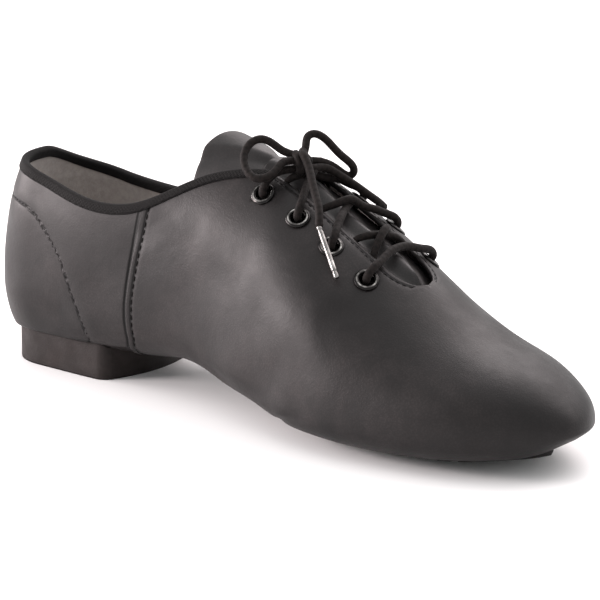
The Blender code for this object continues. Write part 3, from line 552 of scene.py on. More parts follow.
class Shader:
    """A material with a few short ways to add nodes."""

    def __init__(self, name, roughness, metallic=0.0):
        self.material = bpy.data.materials.new(name)
        self.material.use_nodes = True
        self.nodes = self.material.node_tree.nodes
        self.links = self.material.node_tree.links
        self.surface = self.nodes["Principled BSDF"]
        self.surface.inputs["Roughness"].default_value = roughness
        self.surface.inputs["Metallic"].default_value = metallic

    def add(self, kind, **values):
        """Adds a node and sets its options."""
        node = self.nodes.new(kind)
        for name, value in values.items():
            setattr(node, name, value)
        return node

    def put(self, target, value):
        """Links a socket, or sets a plain value."""
        if hasattr(value, "links"):
            self.links.new(value, target)
        elif hasattr(value, "__len__") and len(value) == 3 and len(target.default_value) == 4:
            target.default_value = (*value, 1)
        else:
            target.default_value = value

    def place(self, what="Object"):
        """Texture coordinates."""
        return self.add("ShaderNodeTexCoord").outputs[what]

    def texture(self, kind, output, where=None, options=(), **inputs):
        """Adds a texture node, placed on the object unless told otherwise."""
        node = self.add(kind, **dict(options))
        self.put(node.inputs["Vector"], where or self.place())
        for name, value in inputs.items():
            node.inputs[name].default_value = value
        return node.outputs[output]

    def noise(self, scale, detail=3.0, roughness=0.55, distortion=0.0):
        """Soft irregular patches."""
        return self.texture("ShaderNodeTexNoise", "Fac", Scale=scale, Detail=detail,
                            Roughness=roughness, Distortion=distortion)

    def cells(self, scale):
        """Distance to the nearest of scattered points, for pebbles and pores."""
        return self.texture("ShaderNodeTexVoronoi", "Distance", Scale=scale)

    def wave(self, scale, where):
        """Slanted bands."""
        slanted = {"bands_direction": "DIAGONAL"}
        return self.texture("ShaderNodeTexWave", "Fac", where, slanted, Scale=scale)

    def attribute(self, name):
        """Value of a layer that is stored in the mesh."""
        return self.add("ShaderNodeAttribute", attribute_name=name).outputs["Fac"]

    def ramp(self, value, low, high, start=0.0, end=1.0):
        """Maps low..high to start..end, smoothly."""
        node = self.add("ShaderNodeMapRange", interpolation_type="SMOOTHSTEP")
        names = ("Value", "From Min", "From Max", "To Min", "To Max")
        for name, number in zip(names, (value, low, high, start, end)):
            self.put(node.inputs[name], number)
        return node.outputs["Result"]

    def math(self, operation, first, second):
        """Two values worked into one."""
        node = self.add("ShaderNodeMath", operation=operation)
        self.put(node.inputs[0], first)
        self.put(node.inputs[1], second)
        return node.outputs[0]

    def mix(self, share, first, second):
        """Two colours mixed by a share."""
        node = self.add("ShaderNodeMix", data_type="RGBA")
        self.put(node.inputs["Factor"], share)
        self.put(node.inputs[6], first)
        self.put(node.inputs[7], second)
        return node.outputs[2]

    def bump(self, height, distance, strength=1.0, normal=None):
        """Fine relief, on top of an earlier one if given."""
        node = self.add("ShaderNodeBump")
        node.inputs["Distance"].default_value = distance
        node.inputs["Strength"].default_value = strength
        self.put(node.inputs["Height"], height)
        if normal:
            self.put(node.inputs["Normal"], normal)
        return node.outputs["Normal"]

    def uneven(self, scale, detail, roughness, below, above):
        """Lets the roughness wander with a noise."""
        noise = self.noise(scale, detail)
        self.set("Roughness", self.ramp(noise, 0.3, 0.7, roughness - below, roughness + above))

    def set(self, name, value):
        """Sets or links an input of the surface."""
        self.put(self.surface.inputs[name], value)


def scaled(colour, by):
    """A colour made darker or lighter."""
    return tuple(c * by for c in colour)


def leather_finish(name, seams=True):
    """Fine-grained black leather, rubbed lighter in patches, with painted shade and the raw edge's tone
    along its seams.
    """
    look = bpy.context.scene.leather_look
    made = Shader(name, look.roughness)
    patches = made.ramp(made.noise(26, 3, 0.6, distortion=0.6), 0.34, 0.70)
    fine = made.ramp(made.noise(150, 4, 0.65), 0.30, 0.75)
    rubbed = made.math("MULTIPLY", patches, made.ramp(fine, 0, 1, 0.55, 1.0))
    colour = made.mix(rubbed, look.colour[:], look.worn[:])
    pores = made.cells(1 / look.grain)
    colour = made.mix(made.ramp(pores, 0.30, 0.62, 0.0, 0.35), colour, scaled(look.colour, 0.55))
    height = made.math("MULTIPLY", made.ramp(pores, 0.05, 0.65, 1.0, 0.0), 0.55)
    height = made.math("ADD", height, made.math("MULTIPLY", made.noise(900, 3), 0.45))
    normal = made.bump(height, 0.00010, 0.30)
    normal = made.bump(made.noise(95, 3, 0.6, distortion=0.4), 0.00070, 0.26, normal)
    if seams:
        # Darker line along the seams: painted shade in the stitch grooves and behind the lap's edge,
        # partly the raw edge's own darker tone
        line = made.ramp(made.attribute("seam"), 0.0004, 0.0013)
        colour = made.mix(line, scaled(look.colour, 0.22), colour)
        normal = made.bump(line, 0.00040, 1.0, normal)
    made.set("Base Color", colour)
    made.set("Normal", normal)
    made.uneven(60, 4, look.roughness, 0.06, 0.07)
    made.set("Specular IOR Level", 0.20 if seams else 0.32)
    made.set("Coat Weight", 0.06)
    made.set("Coat Roughness", 0.38)
    return made.material


def lining_finish():
    """Pale brushed lining with a short nap."""
    look = bpy.context.scene.leather_look
    made = Shader("brushed_lining", 0.92)
    nap = made.ramp(made.noise(520, 5, 0.7), 0.3, 0.7)
    made.set("Base Color", made.mix(nap, scaled(look.lining, 0.78), look.lining[:]))
    made.set("Normal", made.bump(made.noise(1500, 4, 0.7), 0.00025, 0.6))
    made.set("Sheen Weight", 0.35)
    made.set("Sheen Roughness", 0.5)
    return made.material


def woven_finish(name, colour, scale, roughness=0.8, depth=0.00015):
    """Cloth whose threads follow the piece's own UV map, which is in thread pitches."""
    made = Shader(name, roughness)
    where = made.place("UV")
    first = made.wave(scale, where)
    turned = made.add("ShaderNodeMapping")
    turned.inputs["Rotation"].default_value = (0, 0, math.pi / 2)
    made.put(turned.inputs["Vector"], where)
    second = made.wave(scale, turned.outputs["Vector"])
    height = made.math("MAXIMUM", first, second)
    fuzz = made.math("MULTIPLY", made.noise(1800, 3), 0.3)
    made.set("Base Color", made.mix(height, scaled(colour, 0.55), scaled(colour, 1.5)))
    made.set("Normal", made.bump(made.math("ADD", height, fuzz), depth, 0.9))
    made.set("Specular IOR Level", 0.14)
    made.set("Sheen Weight", 0.02)
    made.set("Sheen Roughness", 0.5)
    return made.material


def rubber_finish(name, colour, roughness=0.68):
    """Matt rubber or suede with a little dust in its surface."""
    made = Shader(name, roughness)
    dust = made.ramp(made.noise(70, 4, 0.6), 0.35, 0.75)
    made.set("Base Color", made.mix(dust, colour, tuple(c * 1.6 + 0.002 for c in colour)))
    made.set("Normal", made.bump(made.noise(1300, 3, 0.6), 0.00018, 0.5))
    made.set("Specular IOR Level", 0.25)
    made.uneven(160, 3, roughness, 0.08, 0.08)
    return made.material


def metal_finish(name, colour, worn, roughness, wear=0.5):
    """Plated metal with a brighter worn edge where the surface noise is high."""
    made = Shader(name, roughness, 1.0)
    rubbed = made.ramp(made.noise(260, 4, 0.6), wear - 0.1, wear + 0.25)
    made.set("Base Color", made.mix(rubbed, colour, worn))
    made.uneven(700, 3, roughness, 0.05, 0.10)
    made.set("Normal", made.bump(made.noise(1600, 2), 0.00003, 0.4))
    return made.material


def thread_finish():
    """Dark sewing thread."""
    made = Shader("sewing_thread", 0.80)
    dark, pale = (0.003, 0.0025, 0.0025), (0.008, 0.007, 0.007)
    made.set("Base Color", made.mix(made.noise(2200, 2), dark, pale))
    made.set("Normal", made.bump(made.noise(2600, 2), 0.00012, 0.6))
    made.set("Specular IOR Level", 0.10)
    return made.material


# The upper


def rib_stations():
    """Ribs of the fine mesh, close together at the lapped seam and the toe."""
    seam = float(station(SEAM_RIB))
    return np.concatenate([
        np.linspace(0, FAN, 42, endpoint=False),
        np.linspace(FAN, seam - 0.10, 26, endpoint=False),
        np.linspace(seam - 0.10, seam + 0.30, 24, endpoint=False),
        np.linspace(seam + 0.30, LAST - 1.8, 116, endpoint=False),
        LAST - 1.8 * np.linspace(1, 0, 34) ** 1.4,
    ])


def crease_relief(side, u, v):
    """Depth of the listed creases: long soft valleys with a low roll beside each."""
    total = np.zeros(np.broadcast(u, v).shape)
    for where, at, up, long, wide, turn, depth in CREASES:
        if where != side:
            continue
        a = u - at
        b = (v - up) / CREASE_SPAN
        cos = math.cos(math.radians(turn))
        sin = math.sin(math.radians(turn))
        run = (a * cos + b * sin) / long
        across = (-a * sin + b * cos + 0.12 * np.sin(3 * run)) / (wide / CREASE_SPAN)
        fade = np.exp(-(run ** 2) * 1.6)
        total -= depth * fade * (np.exp(-across ** 2) - 0.45 * np.exp(-(across - 1.9) ** 2))
    return total


def soft_waves(points):
    """Slow swells where unlined leather doesn't lie flat on anything."""
    x, y, z = (points[..., i] for i in range(3))
    waves = 0.45 * np.sin(95 * x + 40 * z + 1.3) * np.sin(120 * z - 30 * x + 60 * y + 0.4)
    waves += 0.30 * np.sin(210 * x - 90 * z + 2.1) * np.sin(170 * z + 50 * x)
    waist = np.exp(-((x - 0.075) / 0.055) ** 2)
    return 0.00045 * waves * (0.35 + waist)


def heel_sag(side, u, points):
    """How far the soft leather hangs over the heel block's upper edge."""
    s = section(side, u)
    half = np.hypot(points[..., 0] - s["x"], points[..., 1] - s["y"])
    outside = ease((half - s["reach"] + 0.0055) / 0.0020)
    low = ease(1 - (points[..., 2] - s["seat"]) / 0.015)
    ends = ease(np.clip(u / 0.6, 0, 1) * np.clip((4.3 - u) / 0.8, 0, 1))
    return HEEL_SAG * outside * low * ends


def lap_relief(u, v):
    """The front panel's step over the rear quarter, and the distance ahead of its edge."""
    size = sizes()
    seam = station(np.interp(v, *zip(*SEAM)))
    ahead = size.length * (along_at(u) - along_at(seam))
    step = np.clip(ahead / 0.0006 + 0.5, 0, 1) * ease(1 - ahead / 0.035)
    tuck = np.exp(-((ahead + 0.0007) / 0.0007) ** 2)
    below_tape = np.clip((0.925 - v) / 0.06, 0, 1)
    return size.lap * below_tape * (step - 0.35 * tuck), ahead


def seam_lines(side):
    """Stitched lines on one side, as arrays of points: stiffener, lapped seam and facing."""
    size = sizes()
    u = np.linspace(0, COUNTER[-1][0], 90)
    height = size.heel + size.back * np.interp(u, *zip(*COUNTER))
    counter = surface(side, u, angle_of_height(side, u, height))
    v = np.linspace(0.12, 0.985, 60)
    u = station(np.interp(v, *zip(*SEAM)) + 0.0027 / size.length)
    quarter = surface(side, u, angle_up(side, u, v))
    facing = edge_frames(side, np.linspace(FACING_TOP, station(VAMP_POINT) - 0.03, 60), [0.0021])[0]
    return counter, quarter, facing[:, 0]


def edge_frames(side, stations, depths):
    """Points at depths below the top edge at each station, and their outward and upward
    directions."""
    stations = np.asarray(stations, float)
    share = np.linspace(1, 0.55, 40)
    points = wall_point(side, stations[:, None] + 0 * share, share + 0 * stations[:, None])
    run = np.cumsum(np.linalg.norm(np.diff(points, axis=1), axis=2), axis=1)
    run = np.concatenate([0 * stations[:, None], run], axis=1)
    v = np.array([np.interp(depths, one, share) for one in run])
    u = stations[:, None] + 0 * v
    step = 0.004
    up = wall_point(side, u, v + step / 4) - wall_point(side, u, v - step / 4)
    ahead = wall_point(side, u + step, v) - wall_point(side, np.maximum(u - step, 0), v)
    ahead[stations == 0] = (0.0, side, 0.0)
    out = np.cross(ahead, up) * -side
    out /= np.linalg.norm(out, axis=2, keepdims=True)
    return wall_point(side, u, v), out, up / np.linalg.norm(up, axis=2, keepdims=True)


def edge_frame(side, u, depths):
    """The same at one station."""
    here, out, up = edge_frames(side, [u], depths)
    return here[0], out[0], up[0]


def eyelet_places():
    """(side, number, centre, outward direction) of the eyelets."""
    for number, along in enumerate(EYELETS, 1):
        for side in (-1, 1):
            here, out, _ = edge_frame(side, float(station(along)), [sizes().eyelet_edge])
            yield side, number, here[0], out[0]


def pierce(bm, radius):
    """Cuts a round hole through the facing at each eyelet."""
    for _, _, centre, out in eyelet_places():
        centre, out = Vector(centre), Vector(out)

        def off_axis(point):
            return (point - centre) - out * (point - centre).dot(out)

        near = [f for f in bm.faces if (f.calc_center_median() - centre).length < radius * 0.98]
        bmesh.ops.delete(bm, geom=near, context="FACES")
        rim = [v for v in bm.verts if v.is_boundary and (v.co - centre).length < radius * 1.7]
        for vert in rim:
            away = off_axis(vert.co)
            vert.co += away.normalized() * (radius - away.length)


class SHOE_OT_upper(bpy.types.Operator):
    """The hollow leather upper with its lining, creases and lapped seam"""

    bl_idname = "jazz_shoe.upper"
    bl_label = "Upper"

    def leather(self, side, u, v):
        """Points of one side's leather, and how near each lies to a seam."""
        at, angle = wall_place(side, u, v)
        base = surface(side, at, angle)
        relief, ahead = lap_relief(at, v)
        calm = np.clip((1 - v) / 0.10, 0, 1) * np.clip(v / 0.10, 0, 1) * np.clip(at / 0.35, 0, 1)
        calm *= np.clip((LAST - at) / 2.2, 0.15, 1)
        relief += (crease_relief(side, at, v) + soft_waves(base)) * calm
        counter, quarter, facing = (distance_to(line, base) for line in seam_lines(side))
        near = np.minimum(np.minimum(counter, quarter), facing)
        relief -= 0.00022 * np.exp(-(near / 0.0010) ** 2)

        to_edge = np.linalg.norm(base[:, -1:] - base[:, -2:-1], axis=2) * (1 - v) / (1 - v[0, -2])
        thinned = np.clip(1 - to_edge / 0.0011, 0, 1)
        throat = (top_edge(side, at) < math.pi / 2 - FLAT) & (at > 5.6)
        relief -= 0.00045 * np.where(throat, thinned, 0) ** 2

        points = base + grid_normals(base, side) * relief[..., None]
        points[..., 2] -= heel_sag(side, at, base)
        joined = np.abs(top_edge(side, at[:, -1]) - math.pi / 2) < FLAT
        closed = np.abs(bottom_edge(side, at[:, 0]) + math.pi / 2) < FLAT
        points[joined, -1, 1] = base[joined, -1, 1]
        points[closed, 0, 1] = base[closed, 0, 1]
        points[0, :, 1] = 0

        # Distances for the seam layer: the leather gets painted shade behind the lap's edge and in the
        # stitch grooves, partly the raw edge's own tone
        lap_edge = np.where(ahead < 0.0003, np.abs(ahead + 0.0003) * 0.85, 1.0)
        near = np.minimum(counter + 0.00034, np.minimum(quarter, facing) + 0.00038)
        return points, np.minimum(near, lap_edge)

    def execute(self, context):
        shares = np.linspace(0, 1, 74)
        shares = 0.55 * shares + 0.45 * (0.5 - 0.5 * np.cos(math.pi * shares))
        u, v = np.meshgrid(rib_stations(), shares, indexing="ij")
        bm = bmesh.new()
        near_seam = {}
        for side in (-1, 1):
            points, near = self.leather(side, u, v)
            bend_grid(bm, points, flip=side > 0)
            for point, distance in zip(np.round(points.reshape(-1, 3), 5), near.reshape(-1)):
                near_seam[tuple(point)] = distance
        bmesh.ops.remove_doubles(bm, verts=bm.verts, dist=TINY)
        layer = bm.verts.layers.float.new("seam")
        for vert in bm.verts:
            vert[layer] = near_seam.get(tuple(np.round(np.array(vert.co), 5)), 0.01)
        pierce(bm, EYELET_HOLE)
        piece = finish_mesh(bm, "leather_upper", leather_finish("black_leather"), lining_finish())
        thicken(piece, sizes().wall)
        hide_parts("upper")
        return {"FINISHED"}


def stitch(bm, centre, ahead, out, length, radius):
    """One sewn stitch: a short flattened bead lying along the seam."""
    ahead = ahead.normalized()
    out = (out - ahead * out.dot(ahead)).normalized()
    across = out.cross(ahead)
    turn = Matrix((ahead, across, out)).transposed().to_4x4()
    shape = Matrix.Diagonal((length / 2, radius, radius * 0.75, 1))
    lying = turn @ shape @ Matrix.Rotation(math.pi / 2, 4, "Y")
    bmesh.ops.create_uvsphere(
        bm, u_segments=6, v_segments=4, radius=1, matrix=Matrix.Translation(centre) @ lying)


def skin_of(piece):
    """A search tree of a piece's own faces, which stitches are laid on."""
    mesh = piece.data
    return BVHTree.FromPolygons([v.co for v in mesh.vertices], [f.vertices for f in mesh.polygons])


def stitch_row(bm, skin, line, pitch, length, radius, lift):
    """Stitches at an even pitch along a line, laid on the skin's nearest faces."""
    runs = runs_along(line)

    def at_run(run):
        return Vector([np.interp(run, runs, line[:, i]) for i in range(3)])

    for at in np.arange(pitch / 2, runs[-1], pitch):
        here, out, _, _ = skin.find_nearest(at_run(at))
        ahead = at_run(at + pitch / 4) - at_run(at - pitch / 4)
        stitch(bm, here + out * lift, ahead, out, length, radius)


class SHOE_OT_stitches(bpy.types.Operator):
    """Stitches of the heel stiffener, the lapped seam and the facings"""

    bl_idname = "jazz_shoe.stitches"
    bl_label = "Stitches"

    def execute(self, context):
        bm = bmesh.new()
        skin = skin_of(bpy.data.objects["leather_upper"])
        for side in (-1, 1):
            for line, sewn in zip(seam_lines(side), STITCHES):
                stitch_row(bm, skin, line, *sewn)
        piece = finish_mesh(bm, "upper_stitches", thread_finish())
        return {"FINISHED"}


class SHOE_OT_binding(bpy.types.Operator):
    """The folded tape over the collar's edge"""

    bl_idname = "jazz_shoe.binding"
    bl_label = "Binding"

    def fold(self, deep, wall):
        """The folded tape's section: depth below the edge, distance outward and rise."""
        face = ((1.0, 0.00005), (1.0, 0.00045), (0.93, 0.00058), (0.60, 0.00068), (0.30, 0.00072))
        half = wall / 2
        profile = [(deep * depth, out, 0.0) for depth, out in face]
        for turn in np.linspace(0, math.pi, 9):
            across = -half + math.cos(turn) * (half + 0.00070)
            profile.append((0.0, across, 0.00005 + math.sin(turn) * 0.00095))
        profile += [(deep * depth, -wall - out, 0.0) for depth, out in reversed(face)]
        profile += [(deep * depth, -wall * 0.75, 0.0) for depth in (0.66, 0.33)]
        profile += [(deep * depth, -wall * 0.25, 0.0) for depth in (0.33, 0.66)]
        return profile + profile[:1]

    def execute(self, context):
        size = sizes()
        end = float(station(BINDING_END))
        round_heel = np.linspace(end, 0, 150)
        profile = np.array(self.fold(size.binding_depth, size.wall))
        rings = []
        for side, stations in ((-1, round_heel), (1, round_heel[-2::-1])):
            here, out, up = edge_frames(side, stations, profile[:, 0])
            rings.append(here + out * profile[:, 1:2] + up * profile[:, 2:3])
        bm = bmesh.new()
        bend_grid(bm, np.concatenate(rings), scale=(240, 16))
        seal(bm, fill=True)
        look = context.scene.leather_look
        piece = finish_mesh(bm, "collar_tape", woven_finish("binding_tape", look.tape[:], 0.62))
        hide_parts("topline_binding")

        stitches = bmesh.new()
        tape = skin_of(piece)
        depth = size.binding_depth * 0.84
        for side in (-1, 1):
            here, out, _ = edge_frames(side, np.linspace(0, end - 0.05, 120), [depth])
            stitch_row(stitches, tape, (here + out * 0.0006)[:, 0], *TAPE_STITCHES)
        row = finish_mesh(stitches, "tape_stitches", thread_finish())
        return {"FINISHED"}


def over_instep(side, u, run):
    """The section angles at distances round the instep from the ridge, for arrays of both."""
    angles = np.linspace(math.pi / 2, 0, 120)
    points = surface(side, u[:, None] + 0 * angles, angles + 0 * u[:, None])
    steps = np.cumsum(np.linalg.norm(np.diff(points, axis=1), axis=2), axis=1)
    steps = np.concatenate([0 * u[:, None], steps], axis=1)
    return np.array([np.interp(one, row, angles) for one, row in zip(run, steps)])


class SHOE_OT_tongue(bpy.types.Operator):
    """The leather tongue, rounded at its edges and free at its top"""

    bl_idname = "jazz_shoe.tongue"
    bl_label = "Tongue"

    def execute(self, context):
        size = sizes()
        half = spline([row[0] for row in TONGUE], [row[1] for row in TONGUE])
        middle, share = np.meshgrid(
            np.linspace(*TONGUE_ENDS, 100), np.linspace(-1, 1, 61), indexing="ij")
        first = middle - TONGUE_ENDS[0]
        corner = np.clip((np.abs(share) - 0.20) / 0.80, 0, 1) ** 2.4 * np.clip(1 - first / 0.06, 0, 1)
        slant = share * np.clip(1 - first / TONGUE_SLANT_FADE, 0, 1)
        along = middle + TONGUE_SLANT * slant + TONGUE_CORNER * corner
        u = station(along)
        reach = np.abs(share) * half(along) * size.ball_width
        points = np.zeros((*u.shape, 3))
        depths = np.zeros(u.shape)
        for side in (-1, 1):
            mine = (share < 0) == (side < 0)
            angle = over_instep(side, u[mine], reach[mine])
            past = np.where(along[mine] > TONGUE_FREE_TO, 0.09, 0.22)
            free = ease((angle - top_edge(side, u[mine]) - past) / 0.15)
            points[mine] = surface(side, u[mine], angle)
            depths[mine] = TONGUE_UNDER_FACING * (1 - free) + TONGUE_IN_GAP * free
        x, y = points[..., 0], points[..., 1]
        depths += 0.00025 * np.sin(160 * x + 1.0) * np.sin(130 * y + 0.7)
        depths += 0.0006 * np.exp(-((x - 0.088) / 0.006) ** 2)
        out = np.cross(np.gradient(points, axis=0), np.gradient(points, axis=1))
        out /= np.linalg.norm(out, axis=2, keepdims=True)
        bm = bmesh.new()
        bend_grid(bm, points - out * depths[..., None])
        leather = leather_finish("tongue_leather", False)
        piece = finish_mesh(bm, "leather_tongue", leather, lining_finish())
        thicken(piece, TONGUE_WALL)
        soften = piece.modifiers.new("soft edge", "BEVEL")
        soften.width = 0.0009
        soften.segments = 3
        soften.limit_method = "ANGLE"
        soften.angle_limit = math.radians(50)
        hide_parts("tongue")
        return {"FINISHED"}


# Soles


def underside(side, u, half):
    """Height of the upper's bottom at a distance from the section's middle."""
    s = section(side, u)
    share = np.clip(half / np.maximum(s["reach"], TINY), 0, 1)
    drop = (s["widest"] - s["under"]) * (1 - share ** s["low"]) ** (1 / s["low"])
    return np.maximum(s["widest"] - drop, s["seat"])


def between(u, ends, radius):
    """Narrows a pad to round corners at both of its ends."""
    size = sizes()
    inside = np.minimum(along_at(u) - ends[0], ends[1] - along_at(u)) * size.length
    return rounded(np.maximum(inside - TINY, 0), radius)


class SHOE_OT_soles(bpy.types.Operator):
    """The heel block, the forefoot sole with its tread, and the insole"""

    bl_idname = "jazz_shoe.soles"
    bl_label = "Soles"

    def pad(self, name, finish, stations, half_width, clear, bottom, rounding, tread=None, hollow=0.0):
        """A pad that fits the upper's underside: its top, its rounded side and its bottom."""
        bm = bmesh.new()
        shares = np.sin(np.linspace(0, math.pi / 2, 22))
        turns = np.linspace(0, math.pi / 2, 5)
        for side in (-1, 1):
            u, share = np.meshgrid(stations, shares, indexing="ij")
            s = section(side, u)
            wide = half_width(side, u)
            half = share * wide
            top = underside(side, u, half) - clear
            floor = bottom(u, share, top)
            small = np.minimum(rounding, np.maximum((top - floor) / 3, TINY))
            layers = [np.stack([half, top + 0 * half], -1)]
            edge_top, edge_floor = top[:, -1:], floor[:, -1:]
            corner, edge = small[:, -1:], wide[:, -1:]
            for fall in (0.25, 0.5, 0.72):
                height = edge_top * (1 - fall) + (edge_floor + corner) * fall
                layers.append(np.stack([edge + 0 * height, height], -1))
            for turn in turns:
                pulled = corner * (1 - math.cos(turn)) * np.minimum(1, edge / 0.003)
                height = edge_floor + corner * (1 - math.sin(turn))
                layers.append(np.stack([edge - pulled, height], -1))
            inner = shares[-2::-1]
            base = bottom(u[:, ::-1][:, 1:], inner[None, :] + 0 * u[:, 1:], top[:, ::-1][:, 1:])
            layers.append(np.stack([inner[None, :] * wide[:, 1:], base], -1))
            profile = np.concatenate(layers, axis=1)
            half, height = profile[..., 0], profile[..., 1]
            if tread is not None:
                height = height + tread(u[:, :1], half, edge, height)
            far = np.clip((u[:, :1] - FAN) / (stations[-1] - FAN), 0, 1) ** 2
            x = s["x"][:, :1] + s["dx"][:, :1] * half
            x = x + hollow * far * (1 - (half / np.maximum(edge, TINY)) ** 2)
            y = s["y"][:, :1] + s["dy"][:, :1] * half
            bend_grid(bm, np.stack([x, y, height], -1))
        seal(bm, fill=True)
        piece = finish_mesh(bm, name, finish)
        piece.data.set_sharp_from_angle(angle=math.radians(50))
        return piece

    def execute(self, context):
        size = sizes()
        last = float(station(HEEL_BREAST))

        def heel_half(side, u):
            """Half width of the heel block, with rounded corners at its breast."""
            to_breast = np.where(u > FAN, (HEEL_BREAST - along_at(u)) * size.length, 1)
            reach = section(side, u)["reach"] - HEEL_SETBACK
            return reach * (0.80 + 0.20 * rounded(to_breast, 0.0050))

        to_breast = np.sin(np.linspace(0, math.pi / 2, 40))[1:]
        heel = self.pad(
            "rubber_heel", rubber_finish("heel_rubber", (0.011, 0.0078, 0.0072)),
            np.concatenate([np.linspace(0, FAN, 40), FAN + (last - FAN) * to_breast]),
            heel_half, SOLE_GAP, lambda u, share, top: 0 * top, 0.0007, hollow=BREAST_HOLLOW)
        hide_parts("heel_block")

        def tread(u, half, edge, height):
            """Notches between the lugs round the sole's edge."""
            turn = along_at(u) * size.length / LUG_PITCH * 2 * math.pi
            notch = np.clip((np.sin(turn) - 0.55) / 0.2, 0, 1)
            near_edge = np.clip((half - edge + 0.006) / 0.001, 0, 1)
            return LUG_DEPTH * notch * near_edge * (height < 0.0025) * (edge > 0.012)

        def skived(u, share, top):
            """Underside of the sole, which thins towards its edge and towards the toe."""
            toe = np.clip((along_at(u) - 0.78) / 0.14, 0, 1)
            return np.maximum(top - 0.0026 + 0.0010 * share ** 4 + 0.0008 * toe, 0)

        def sole_half(side, u):
            """Half width of the forefoot sole."""
            width = np.interp(u, ends, SOLE_WIDTH) * section(side, u)["reach"]
            return width * between(u, SOLE_ENDS, 0.028)

        def sock_half(side, u):
            """Half width of the insole."""
            ends = (-1, INSOLE_END)
            return INSOLE_WIDTH * section(side, u)["reach"] * between(np.maximum(u, FAN), ends, 0.016)

        ends = [float(station(along)) for along in SOLE_ENDS]
        spread = ends[0] + (ends[1] - ends[0]) * (1 - np.cos(np.linspace(0, math.pi, 130))) / 2
        sole = self.pad(
            "tread_sole", rubber_finish("sole_suede", (0.010, 0.0085, 0.0085), 0.8), spread,
            sole_half, SOLE_GAP, skived, 0.0006, tread)
        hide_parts("outsole_forefoot")

        ahead = np.linspace(FAN, float(station(INSOLE_END)), 70)[1:]
        sock = self.pad(
            "brushed_insole", lining_finish(), np.concatenate([np.linspace(0, FAN, 24), ahead]),
            sock_half, -INSOLE_RISE, lambda u, share, top: top - 0.0020, 0.0006)
        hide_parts("insole")
        return {"FINISHED"}


# Eyelets and laces


class SHOE_OT_eyelets(bpy.types.Operator):
    """Eight blackened eyelets with rolled flanges"""

    bl_idname = "jazz_shoe.eyelets"
    bl_label = "Eyelets"

    def execute(self, context):
        finish = metal_finish(
            "blackened_metal", (0.020, 0.019, 0.019), (0.070, 0.066, 0.064), 0.30, 0.60)
        bright = metal_finish("worn_rim", (0.055, 0.052, 0.050), (0.50, 0.48, 0.46), 0.25, 0.50)
        bore, flange, inside = 0.0023, 0.0043, -0.0026
        profile = (
            (flange - 0.0001, 0.00002), (flange, 0.00022), (flange - 0.00022, 0.00052),
            (flange - 0.0007, 0.00075), (bore + 0.0008, 0.00082), (bore + 0.0003, 0.00062),
            (bore, 0.0001), (bore, -0.0015), (bore + 0.0001, inside), (bore + 0.0013, inside),
            (bore + 0.0013, inside + 0.0003), (bore + 0.00035, inside + 0.0004),
            (bore + 0.00035, -0.0004), (flange - 0.0003, -0.00005))
        for side, number, centre, out in eyelet_places():
            bm = bmesh.new()
            verts = [bm.verts.new((r, 0, z)) for r, z in profile]
            edges = [bm.edges.new(pair) for pair in zip(verts, verts[1:] + verts[:1])]
            bmesh.ops.spin(bm, geom=verts + edges, axis=(0, 0, 1), cent=(0, 0, 0), dvec=(0, 0, 0),
                           angle=2 * math.pi, steps=36, use_merge=True)
            bmesh.ops.remove_doubles(bm, verts=bm.verts, dist=TINY / 2)
            bmesh.ops.recalc_face_normals(bm, faces=bm.faces)
            for face in bm.faces:
                middle = face.calc_center_median()
                on_crown = 0.0030 < math.hypot(middle.x, middle.y) < 0.0038
                face.material_index = int(on_crown and middle.z > 0.0004)
            turn = Vector(out).to_track_quat("Z", "X").to_matrix().to_4x4()
            bmesh.ops.transform(bm, matrix=Matrix.Translation(centre) @ turn, verts=bm.verts)
            name = f"{'inner' if side < 0 else 'outer'}_{number}"
            piece = finish_mesh(bm, f"rolled_eyelet_{name}", finish, bright, weld=TINY / 4)
            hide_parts(f"eyelet_{name}")
        return {"FINISHED"}


def smooth_path(points):
    """Even points along a smooth curve through a route, and their shares of its length."""
    points = np.array(points, float)
    runs = runs_along(points)
    along = np.linspace(0, runs[-1], max(4, round(runs[-1] / PATH_STEP) + 1))
    return np.stack([spline(runs, axis)(along) for axis in points.T], -1), along / runs[-1]


def tube(bm, path, radius, pitch=0.002, sides=14):
    """A round cord along a path, with rounded ends; radius is one value or one a point."""
    ahead = np.gradient(path, axis=0)
    ahead /= np.linalg.norm(ahead, axis=1, keepdims=True)
    across = np.cross(ahead[0], (0.31, 0.17, 0.93))
    radius = np.broadcast_to(radius, len(path))
    turns = np.linspace(0, 2 * math.pi, sides + 1)[:, None]
    circles = []
    for forward in ahead:
        across = across - forward * (across @ forward)
        across = across / np.linalg.norm(across)
        circles.append(np.cos(turns) * across + np.sin(turns) * np.cross(forward, across))

    def cap(end, away):
        """Three smaller rings, from the tip of an end inward."""
        return [path[end] + radius[end] * (away * back * ahead[end] + share * circles[end])
                for share, back in ((0.0, 0.50), (0.60, 0.40), (0.90, 0.18))]

    body = [point + size * circle for point, size, circle in zip(path, radius, circles)]
    rings = cap(0, -1) + body + cap(-1, 1)[::-1]
    bend_grid(bm, np.array(rings), scale=(runs_along(path)[-1] / pitch, 4))


def lifted(side, u, half, lift):
    """A point over the throat or a facing: half is its distance from the shoe's middle."""
    angle = float(angle_at(side, u, half, False))
    step = 0.01
    here = surface(side, u, angle)
    along = surface(side, u + step, angle) - surface(side, u - step, angle)
    up = surface(side, u, angle + step) - surface(side, u, angle - step)
    out = np.cross(along, up) * -side
    return here + out / np.linalg.norm(out) * lift


def eyelet_half(side, u):
    """Distance of the eyelets' row from the shoe's middle."""
    centre, _, _ = edge_frame(side, u, [sizes().eyelet_edge])
    return abs(centre[0, 1] - float(section(side, u)["y"]))


def hole(side, along, height):
    """A point on an eyelet's axis."""
    here, out, _ = edge_frame(side, float(station(along)), [sizes().eyelet_edge])
    return here[0] + out[0] * height


